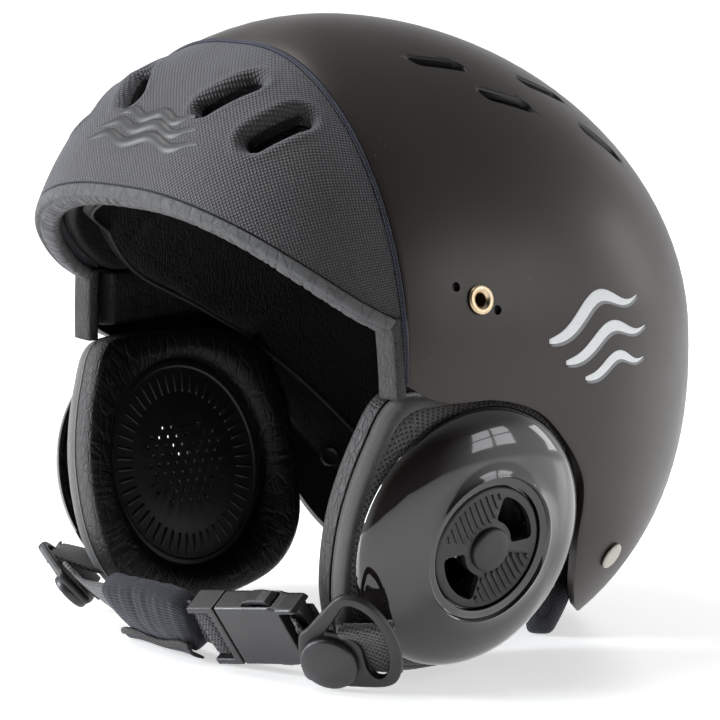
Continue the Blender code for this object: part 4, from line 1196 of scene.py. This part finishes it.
WINDOW_INNER, WINDOW_OUTER = 10.3 * MM, 19.6 * MM
WINDOW_SPAN = 73                          # degrees
RIB_LEAN = math.radians(124)
RIB_PITCH, RIB_INNER, RIB_OUTER = 2.5, 9.6, 20.6


def window_tools(bottom, top):
    """The two opposite windows of the vent."""
    tools = []
    for turn in (5, 185):
        outline = sector(WINDOW_INNER, WINDOW_OUTER, turn, turn + WINDOW_SPAN)
        tools.append(prism((outline, outline), mm((bottom, top))))
    return tools


def rotor_ribs():
    """Parallel wedge-shaped ribs on the two quarters without windows."""
    ribs = []
    for sense in (1, -1):
        along = sense * arm(RIB_LEAN)
        across = np.array([-along[1], along[0]])
        for aside in RIB_PITCH * np.arange(-5, 6):
            first = max(math.sqrt(max(RIB_INNER ** 2 - aside ** 2, 0)), abs(aside) + 1)
            last = math.sqrt(RIB_OUTER ** 2 - aside ** 2)
            sections = []
            for t in np.linspace(0, 1, 11):
                end = math.sqrt(max(1 - (2 * t - 1) ** 10, 0.02))
                width = (0.72 - 0.5 * t) * MM * end
                spot = (across * aside + along * (first + (last - first) * t)) * MM
                sections.append([(*(spot + across * width * u), h * MM)
                                 for u, h in ((-1, -3.6), (-0.9, -2.95), (0, -2.6), (0.9, -2.95),
                                              (1, -3.6))])
            ribs.append(skin(sections))
    return ribs


def make_cup(side, tag):
    dome = [(48.8, -16), (48.7, -14.8), (47.9, -12.6), (46.1, -10.2), (43.0, -7.9), (38.0, -5.6),
            (33.0, -3.9), (29.0, -2.9), (27.9, -2.2), (27.3, -1.9), (26.8, -2.3), (26.4, -3.1),
            (25.6, -3.35), (24.2, -3.4), (23.7, -3.6), (23.6, -4.2), (23.6, -6.4), (3.1, -6.4),
            (3.1, -8.6), (26, -8.6), (37, -8.6), (46.8, -15.4), (47.8, -16)]
    cup = piece("cup_" + tag, at_ear(turned(dome, 160), side), "cup")
    cut(cup, [at_ear(tool, side) for tool in window_tools(-10, -5)])
    crisp(cup, 32)
    finish(cup, "helmet", "smoked_cup", "ear_cup_" + tag)


def make_rotor(side, tag):
    disc = [(2.9, -6.0), (22.9, -6.0), (22.9, -4.5), (22.5, -3.9), (21.8, -3.5), (9, -3.5),
            (8.7, -3.35), (2.9, -3.35)]
    rotor = piece("rotor_" + tag, at_ear(turned(disc, 128), side), "rotor")
    cut(rotor, [at_ear(tool, side) for tool in window_tools(-8, -2)])
    crisp(rotor, 32)
    finish(rotor, "vent_" + tag, "plastic", "vent_rotor_" + tag)
    dress("rotor_ribs_" + tag, at_ear(joined(rotor_ribs()), side), "rotor", "vent_" + tag, "plastic")
    cap = [(0, -12), (2.5, -12), (2.5, -3.1), (7.9, -3.1), (8.1, -2.9), (8.1, -1.9), (7.8, -1.2),
           (7.1, -0.75), (4, -0.55), (0, -0.45)]
    cap = piece("rotor_button_" + tag, at_ear(turned(cap, 64, hole=False), side), "rotor")
    crisp(cap, 50)
    finish(cap, "vent_" + tag, "plastic", "rotor_cap_" + tag)


def oval(body):
    """The round body drawn out upwards, as the ear plate and its opening are."""
    vertices, faces, uvs = body
    return vertices * np.array([1, PLATE_STRETCH, 1]), faces, uvs


def make_grille(side, tag):
    """Inner plate: many small holes in the middle, a ring of short radial fins round them."""
    plate = [(0, -29.4), (22, -29.4), (23, -29.1), (33.5, -29.1), (34.6, -29.4), (35.2, -29.9),
             (35.2, -30.5), (34.6, -30.9), (33.2, -30.9), (32.6, -30.4), (23.5, -30.4),
             (22.4, -30.9), (0, -30.9)]
    disc = piece("inner_plate_" + tag, at_ear(oval(turned(plate, 128, hole=False)), side),
                 "inner")
    tools = []
    for x in range(-4, 5):
        for y in range(-4, 5):
            spot = 4.1 * MM * np.array([x + 0.5 * (y % 2), y * 0.87])
            if np.linalg.norm(spot) < 18.5 * MM:
                hole = np.array(circle(0.8 * MM, 10)) + spot
                tools.append(prism((hole, hole), mm((-33, -27))))
    cut(disc, [at_ear(tool, side) for tool in tools])
    crisp(disc, 35)
    finish(disc, "helmet", "plastic", "ear_grille_" + tag)
    fins = []
    for turn in np.radians(np.arange(0, 360, 7.5)):
        sections = []
        for radius, rise in ((24.2, 0.2), (25, 0.7), (30.5, 0.7), (31.4, 0.2)):
            sections.append(mm([(*(radius * arm(turn) + w * arm(turn + math.pi / 2)), -30.2 - h)
                                for w, h in ((-0.55, 0), (-0.4, rise), (0.4, rise), (0.55, 0))]))
        fins.append(skin(sections))
    dress("plate_fins_" + tag, at_ear(oval(joined(fins)), side), "inner", "helmet", "plastic")


def make_ear_pads(side, tag):
    cover = [(0, -16.8), (0.58, -17.1), (0.80, -18.8), (0.88, -20.4), (0.88, -21.4),
             (0.80, -20.6), (0.52, -18.8), (0, -18.4)]
    foam = [(0, -18.9), (0.52, -19.3), (0.80, -21.4), (0.90, -20.8), (0.97, -21.8), (1.0, -24.4),
            (1.0, -27.4), (0.96, -28.6), (0.5, -28.6), (0, -28.6)]
    cushion = [(0.05, -29.2), (0.5, -29.0), (0.98, -29), (1.02, -30), (1.025, -33.5),
               (0.99, -36.0), (0.85, -38.0), (0.45, -38.8), (0.2, -37.6), (0.03, -35.0),
               (0.0, -32)]
    dress("pad_mesh_" + tag, at_ear(pad_ring(cover, EAR_HOLE), side), "mesh", "helmet", "mesh",
          "ear_pad_cover_" + tag)
    felt_pad = piece("pad_felt_" + tag, at_ear(pad_ring(foam, EAR_HOLE), side), "felt")
    finish(felt_pad, "helmet", "foam_liner", "ear_pad_foam_" + tag)
    ring = pad_ring(cushion, CUSHION_HOLE, steps=3, points=120)
    pad = piece("pad_cushion_" + tag, at_ear(ring, side), "cushion")
    plump(pad, 1.6 * MM)
    # The cushion's outer face takes the lighter rim leather: a painted highlight, as where the rim
    # catches light.
    pad.data.materials.append(LOOKS["rim"])
    centre = (mm(flipped(EAR_CENTRE, side)) + HOME)[1:]
    for face in pad.data.polygons:
        away = np.array(face.center)[1:] - centre
        outwards = np.array(face.normal)[1:] @ unit(away)
        face.material_index = int(outwards > RIM_FACING and np.linalg.norm(away) > RIM_FROM)
    finish(pad, "helmet", "black_leather", "ear_cushion_" + tag)


def make_ears():
    for side, tag in SIDES:
        make_ear_pads(side, tag)
        make_grille(side, tag)
        make_cup(side, tag)
        make_rotor(side, tag)


# ---- chin strap ----

ADJUSTERS = {
    1: ((86, -68, 11.8), (0.82, 0.56, 0.0), (0.50, -0.74, -0.43)),
    -1: ((-78.5, -65, 10.9), (-0.76, 0.65, 0.0), (-0.45, -0.55, -0.70)),
}
RING_OUTLINE = ((-11, -8), (-11, 8), (-7, 13), (-1, 20), (5, 26.5), (9, 28), (16, 26), (22, 19),
                (26, 8), (25, -4), (20, -10), (8, -11.5), (-4, -11))
RING_HOLE = ((0, 12.6), (1, 13.6), (3, 16.5), (5.5, 20), (8, 23.5), (12, 23.8), (17.5, 19.5),
             (21.5, 10), (21, -2), (17.5, -6.5), (13, -4), (11.5, 6.5), (6, 11.5))
RING_SIZE = {1: 1.0, -1: 0.74}
RING_HALF_THICK = 1.55 * MM
SIDE_WEIGHT = 0.02                        # of the width's direction, when a band is smoothed
TWIST_START, TWIST_LENGTH = 20 * MM, 80 * MM
SLEEVE_ENDS = (-30 * MM, 20.5 * MM)
BUCKLE_ORIGIN = (38.5, -74.9, 15.8)
BUCKLE_ALONG = (0.968, 0.215, 0.129)
BUCKLE_HALF_WIDTH, BUCKLE_HALF_THICK = 13.5, 5.2
CHIN_PATH = ((23.5, -77.6, 14.8), (17, -78.3, 15.7), (8, -78.8, 16.2), (-5, -78.6, 16),
             (-20, -77.4, 14.8), (-38, -74, 12.8), (-52, -70.4, 11.4), (-64, -67.8, 12))


def adjuster_frame(side):
    centre, away, face = ADJUSTERS[side]
    away = unit(away)
    face = np.array(face)
    face = unit(face - away * (face @ away))
    return mm(centre), np.array([away, np.cross(face, away) * side, face])


def make_adjusters():
    for side, tag in SIDES:
        centre, axes = adjuster_frame(side)
        outline = spline(mm(RING_OUTLINE) * RING_SIZE[side], 6, closed=True)
        hole = spline(mm(RING_HOLE) * RING_SIZE[side], 6, closed=True)
        sections = []
        for a, b in zip(outline, hole):
            middle, half = (a + b) / 2, (a - b) / 2
            ring = []
            for turn in full_turn(20):
                spot = middle + half * blunt(math.cos(turn), 0.45)
                ring.append((*spot, RING_HALF_THICK * blunt(math.sin(turn), 0.6)))
            sections.append(ring)
        disc = [(0, 1.0), (9.7, 1.0), (10.2, 1.3), (10.5, 2), (10.5, 3.5), (10.2, 4.15),
                (9.6, 4.5), (6, 4.9), (0, 5.1)]
        disc = [(RING_SIZE[side] * radius, height) for radius, height in disc]
        dress("adjuster_ring_" + tag, placed(skin(sections, closed=True), centre, axes), "inner",
              "chin_strap", "plastic")
        dress("adjuster_disc_" + tag, placed(turned(disc, 72, hole=False), centre, axes),
              "plastic", "chin_strap", "plastic", "strap_adjuster_" + tag)


def ribbon(path, across, width, thickness, points=20):
    """A flat band with rounded edges; `across` gives the direction of its width."""
    sections = []
    for (point, tangent), side in zip(walk(path), across):
        tangent = unit(tangent)
        side = unit(side - tangent * (side @ tangent))
        face = np.cross(tangent, side)
        sections.append([point + side * blunt(math.cos(turn), 0.5) * width / 2
                         + face * blunt(math.sin(turn), 0.35) * thickness / 2
                         for turn in full_turn(points)])
    return skin(sections)


def make_tabs():
    """Mesh tabs from the pads' lower front into the rings."""
    for side, tag in SIDES:
        centre, axes = adjuster_frame(side)
        ear = ear_axes(side)
        root = in_frame(mm([(-30, -34, -23), (-34, -35.5, -20.5)]), mm(flipped(EAR_CENTRE, side)),
                        ear)
        ring = in_frame(mm([(14, 15, -0.4), (14.5, 5, -2.2), (14.5, -6, -2.9)]), centre, axes)
        path = smooth_line(np.concatenate([root, ring]), 32)
        share = np.linspace(0, 1, 32)[:, None] ** 0.7
        across = ear[0] * (1 - share) + axes[0] * share
        tab = piece("mesh_tab_" + tag, ribbon(path, across, STRAP_WIDTH, TAB_THICKNESS, 28), "mesh")
        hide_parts("strap_tab_" + tag)
        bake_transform(tab)


def tilted_axes(along, tilt=STRAP_TILT):
    """Along the strap, across it (upwards), and out of its face."""
    along = unit(along)
    level = unit((along[1], -along[0], 0.0))
    face = level * math.cos(tilt) - np.array([0, 0, math.sin(tilt)])
    face = unit(face - along * (face @ along))
    across = np.cross(face, along)
    return np.array([along, -across if across[2] < 0 else across, face])


def buckle_block(start, end, half_width, bottom, top):
    outline = ((start, -half_width), (start, half_width), (end, half_width), (end, -half_width))
    return prism((mm(outline), mm(outline)), (bottom * MM, top * MM))


def buckle_piece(name, solid, cuts=(), unions=(), voxel=0.32, rounds=7):
    """A moulded buckle part: joined, cut, and melted so that its edges are round."""
    def place(body):
        return placed(body, mm(BUCKLE_ORIGIN), tilted_axes(BUCKLE_ALONG))
    made = piece(name, place(solid), "plastic")
    for body in unions:
        cut(made, [place(body)], "UNION")
    for body in cuts:
        cut(made, [place(body)])
    melt(made, voxel * MM, rounds)
    return made


def make_buckle():
    w, h = BUCKLE_HALF_WIDTH, BUCKLE_HALF_THICK
    socket = mm(((0.3, -w), (0.3, w), (26, w), (29, w - 1), (36.5, w - 1), (38, w - 2.5),
                 (38, 2.5 - w), (36.5, 1 - w), (29, 1 - w), (26, -w)))
    inner = socket * 0.965 + mm((0.6, 0))
    body = prism((inner, socket, socket, inner), mm((-h, 0.9 - h, h - 0.9, h)))
    cuts = [buckle_block(-2, 27.5, 11.4, -3.6, 3.6), buckle_block(13, 26.6, 18, -3.9, 3.9),
            buckle_block(30, 34.2, 10.6, -9, 9), buckle_block(29.9, 40, 10.6, 2.2, 9),
            buckle_block(29.9, 40, 10.6, -9, -2.2)]
    finish(buckle_piece("buckle_socket_moulding", body, cuts), "chin_strap", "plastic",
           "buckle_socket")
    fork = mm(((-13, w - 2.6), (-12.5, w), (-0.2, w), (-0.2, -w), (-12.5, -w), (-13, 2.6 - w),
               (-3.4, 2.6 - w), (-3.4, w - 2.6)))
    body = prism((fork, fork), mm((-h, h)))
    made = buckle_piece("buckle_plug_moulding", body,
                        unions=[buckle_block(-9, -7, w - 1, -1, 1),
                                buckle_block(-2, 21, 2, -1.6, 1.6)])
    finish(made, "chin_strap", "plastic", "buckle_plug")
    for sign, tag in ((1, "upper"), (-1, "lower")):
        outline = mm([(x, sign * y) for x, y in
                      ((0.3, 7.4), (0.3, 10.6), (11, 10.8), (13.4, 11), (13.6, 14.6), (16, 15.2),
                       (20, 15.4), (24, 14.9), (26, 13.4), (25.6, 9.4), (21, 8.2), (10, 7.6))])
        eye = mm([(19.8 + x, sign * (11.8 + y)) for x, y in capsule(7.2, 3)])
        made = buckle_piece("prong_" + tag, prism((outline, outline), mm((-3.2, 3.2))),
                            [prism((eye, eye), mm((-6, 6)))], voxel=0.28, rounds=5)
        finish(made, "prong_" + tag, "plastic", "buckle_prong_" + tag)


def strap_directions(path):
    """Width direction and face direction along a strap path."""
    across, faces = [], []
    for point, tangent in walk(path):
        share = np.clip((TWIST_START - point[0]) / TWIST_LENGTH, 0, 1)
        tilt = STRAP_TILT + (FAR_TILT - STRAP_TILT) * share
        axes = tilted_axes(tangent if tangent[0] > 0 else -tangent, tilt)
        across.append(axes[1])
        faces.append(axes[2])
    return np.array(across), np.array(faces)


def buckle_loop(points):
    axes = tilted_axes(BUCKLE_ALONG)
    loop = in_frame(smooth_line(mm(points), 24), mm(BUCKLE_ORIGIN), axes)
    return loop, np.repeat(axes[1:2], len(loop), axis=0)


def strap_band(name, side, route, sides, width, node):
    """Webbing along a route that ends behind an adjuster's disc; sides is its width's direction."""
    centre, axes = adjuster_frame(side)
    end = in_frame(mm([(-7, 0, -4.5), (-2, 0, -3)]), centre, axes)
    route = np.concatenate([route, end])
    sides = np.concatenate([sides, np.repeat(axes[1:2], 2, axis=0)])
    fine = smooth_line(np.hstack([route, sides * SIDE_WEIGHT]), 150)
    dress(name, ribbon(fine[:, :3], fine[:, 3:], width, WEBBING_THICKNESS), "webbing",
          "chin_strap", "webbing", node)


def make_webbing():
    loop, loop_across = buckle_loop([(-12, 0, -2.6), (-8, 0, -2.6), (-5.8, 0, -1.7), (-5.1, 0, 0),
                                     (-5.8, 0, 1.7), (-8, 0, 2.6), (-11.5, 0, 2.6)])
    path = smooth_line(mm(CHIN_PATH), 90)
    across, _ = strap_directions(path)
    strap_band("chin_band", -1, np.concatenate([loop, path]),
               np.concatenate([loop_across, across]), STRAP_WIDTH, "chin_webbing")
    loop, loop_across = buckle_loop([(38.5, 0, -3.6), (34.8, 0, -3.6), (32.6, 0, -2.4),
                                     (31.8, 0, 0), (32.7, 0, 2.4), (34.6, -0.7, 3.9),
                                     (36.4, -2, 5.7)])
    loop_across[-1] += adjuster_frame(1)[1][1]
    strap_band("socket_band", 1, loop, loop_across, STRAP_WIDTH - 4 * MM, "socket_webbing")


def make_chin_pad():
    """Rib-knit sleeve, gathered at its ends, with a wavy bound flap along its lower front."""
    whole = smooth_line(mm(CHIN_PATH), 200)
    path = smooth_line([p for p in whole if SLEEVE_ENDS[0] < p[0] < SLEEVE_ENDS[1]], 60)
    across, outs = strap_directions(path)
    outer = spline(mm([(-15, -3.6), (-15, 3.2), (-12, 5.4), (0, 6.5), (11, 5.4), (13.6, 2.5),
                       (13.6, -2.5), (11, -4.6), (0, -5.4), (-12, -5)]), 4, closed=True)
    sections = []
    narrower = np.linspace(0.86, 1, len(path))
    for k, (point, side, out, width) in enumerate(zip(path, across, outs, narrower)):
        end = min(k, len(path) - 1 - k)
        gather = 1 - 0.30 * max(0, 1 - end / 7) ** 2
        ripple = 1 + 0.03 * math.sin(k * 0.55) + 0.02 * math.sin(k * 1.3 + 1)
        sections.append([point + side * u * width * gather + out * v * gather * ripple
                         for u, v in outer])
    pad = piece("chin_sleeve", skin(sections), "knit")
    plump(pad, 1.5 * MM)
    finish(pad, "chin_pad", "ribbed_knit", "chin_pad")
    binding, flap = [], []
    for k, (point, side, out) in enumerate(zip(path, across, outs)):
        share = k / (len(path) - 1)
        wave = 1.6 * MM * math.sin(2 * math.pi * share * 1.25 + 1.2)
        middle = point + side * (wave - 7.5 * MM) + out * 8.0 * MM
        binding.append(hoop(middle, side * 1.5 * MM, out * 1.1 * MM))
        low = point - side * 14.6 * MM + out * 4.4 * MM
        bulge = (middle + low) / 2 + out * 1.4 * MM
        front = smooth_line([middle, bulge, low], 9)
        flap.append(np.concatenate([front + out * 0.5 * MM, front[::-1] - out * 0.5 * MM]))
    dress("chin_edge", skin(binding), "edge", "chin_pad", "grey_leather", "chin_pad_binding")
    dress("chin_flap", skin(flap), "flap", "chin_pad", "ribbed_knit")


# ---- the rest of the scene ----

def area_light(name, place, size, power, colour=(1, 1, 1)):
    lamp = bpy.data.lights.new(name, "AREA")
    lamp.shape = "RECTANGLE"
    lamp.size, lamp.size_y = size
    lamp.energy = power
    lamp.color = colour
    made = add_object(name, lamp)
    made.location = place
    made.rotation_euler = (LIT_POINT - Vector(place)).to_track_quat("-Z", "Y").to_euler()


def make_world():
    """A white studio that is dark on the photographer's side and dimmer overhead."""
    world = bpy.data.worlds.new("studio")
    world.use_nodes = True
    tree = world.node_tree
    place = add_node(tree, "TexCoord", {})
    fades = []
    for direction, start, end, low in ((DARK_SIDE, 0.2, 0.8, 0.08), ((0, 0, 1), 0.15, 0.6, 0.35)):
        facing = add_node(tree, "VectorMath", {0: place, 1: direction}, 1, operation="DOT_PRODUCT")
        span = {"Value": facing, "From Min": start, "From Max": end, "To Min": 1.0, "To Max": low}
        fades.append(add_node(tree, "MapRange", span, interpolation_type="SMOOTHSTEP"))
    strength = add_node(tree, "Math", {0: fades[0], 1: fades[1]}, operation="MULTIPLY")
    background = tree.nodes["Background"].inputs
    tree.links.new(strength, background["Strength"])
    background["Color"].default_value = (1, 1, 1, 1)
    bpy.context.scene.world = world


def make_stage():
    mesh = bpy.data.meshes.new("floor")
    reach = 6
    mesh.from_pydata([(-reach, -reach, 0), (reach, -reach, 0), (reach, reach, 0),
                      (-reach, reach, 0)], [], [(0, 1, 2, 3)])
    mesh.materials.append(Look("floor_white", (0.93, 0.93, 0.93), 0.3,
                               Emission_Color=(1, 1, 1, 1), Emission_Strength=0.55).material)
    floor = add_object("floor", mesh)
    make_world()
    bpy.context.scene.view_settings.view_transform = "Standard"
    area_light("overhead", (-0.9, -0.5, 2.1), (1.2, 1.2), 34)
    area_light("key", (-1.5, -1.9, 0.9), (0.9, 1.2), 66, (0.90, 0.95, 1))
    area_light("back_edge", (0.5, 2.1, 0.5), (0.5, 0.7), 3)
    for across in (-0.3, 0.3):
        for up in (-0.24, 0.24):
            spot = (2.2 - across * 0.65, 1.55 + across * 0.75, 0.8 + up)
            area_light("window_pane", spot, (0.52, 0.42), 2.0, (0.95, 0.97, 1))


def make_camera():
    data = bpy.data.cameras.new("camera")
    data.lens = CAMERA_LENS
    data.sensor_width = 36
    data.shift_x, data.shift_y = CAMERA_SHIFT
    data.clip_start = 0.1
    camera = add_object("camera", data)
    away = Vector((math.sin(CAMERA_AZIMUTH) * math.cos(CAMERA_ELEVATION),
                   -math.cos(CAMERA_AZIMUTH) * math.cos(CAMERA_ELEVATION),
                   math.sin(CAMERA_ELEVATION)))
    camera.location = LOOK_AT + away * CAMERA_DISTANCE
    camera.rotation_euler = (-away).to_track_quat("-Z", "Y").to_euler()
    bpy.context.scene.camera = camera


make_camera()
make_stage()
make_shell()
make_fasteners()
make_decals()
make_brow()
make_emblem()
make_trim()
make_piping()
make_crown_liner()
make_liners()
make_neck_pad()
make_snaps()
make_ears()
make_adjusters()
make_tabs()
make_buckle()
make_webbing()
make_chin_pad()
for side, tag in SIDES:
    NODES["rotor_clip_" + tag].data.materials[0] = LOOKS["brass"]
    NODES["rivet_washer_" + tag].data.materials[0] = LOOKS["inner"]
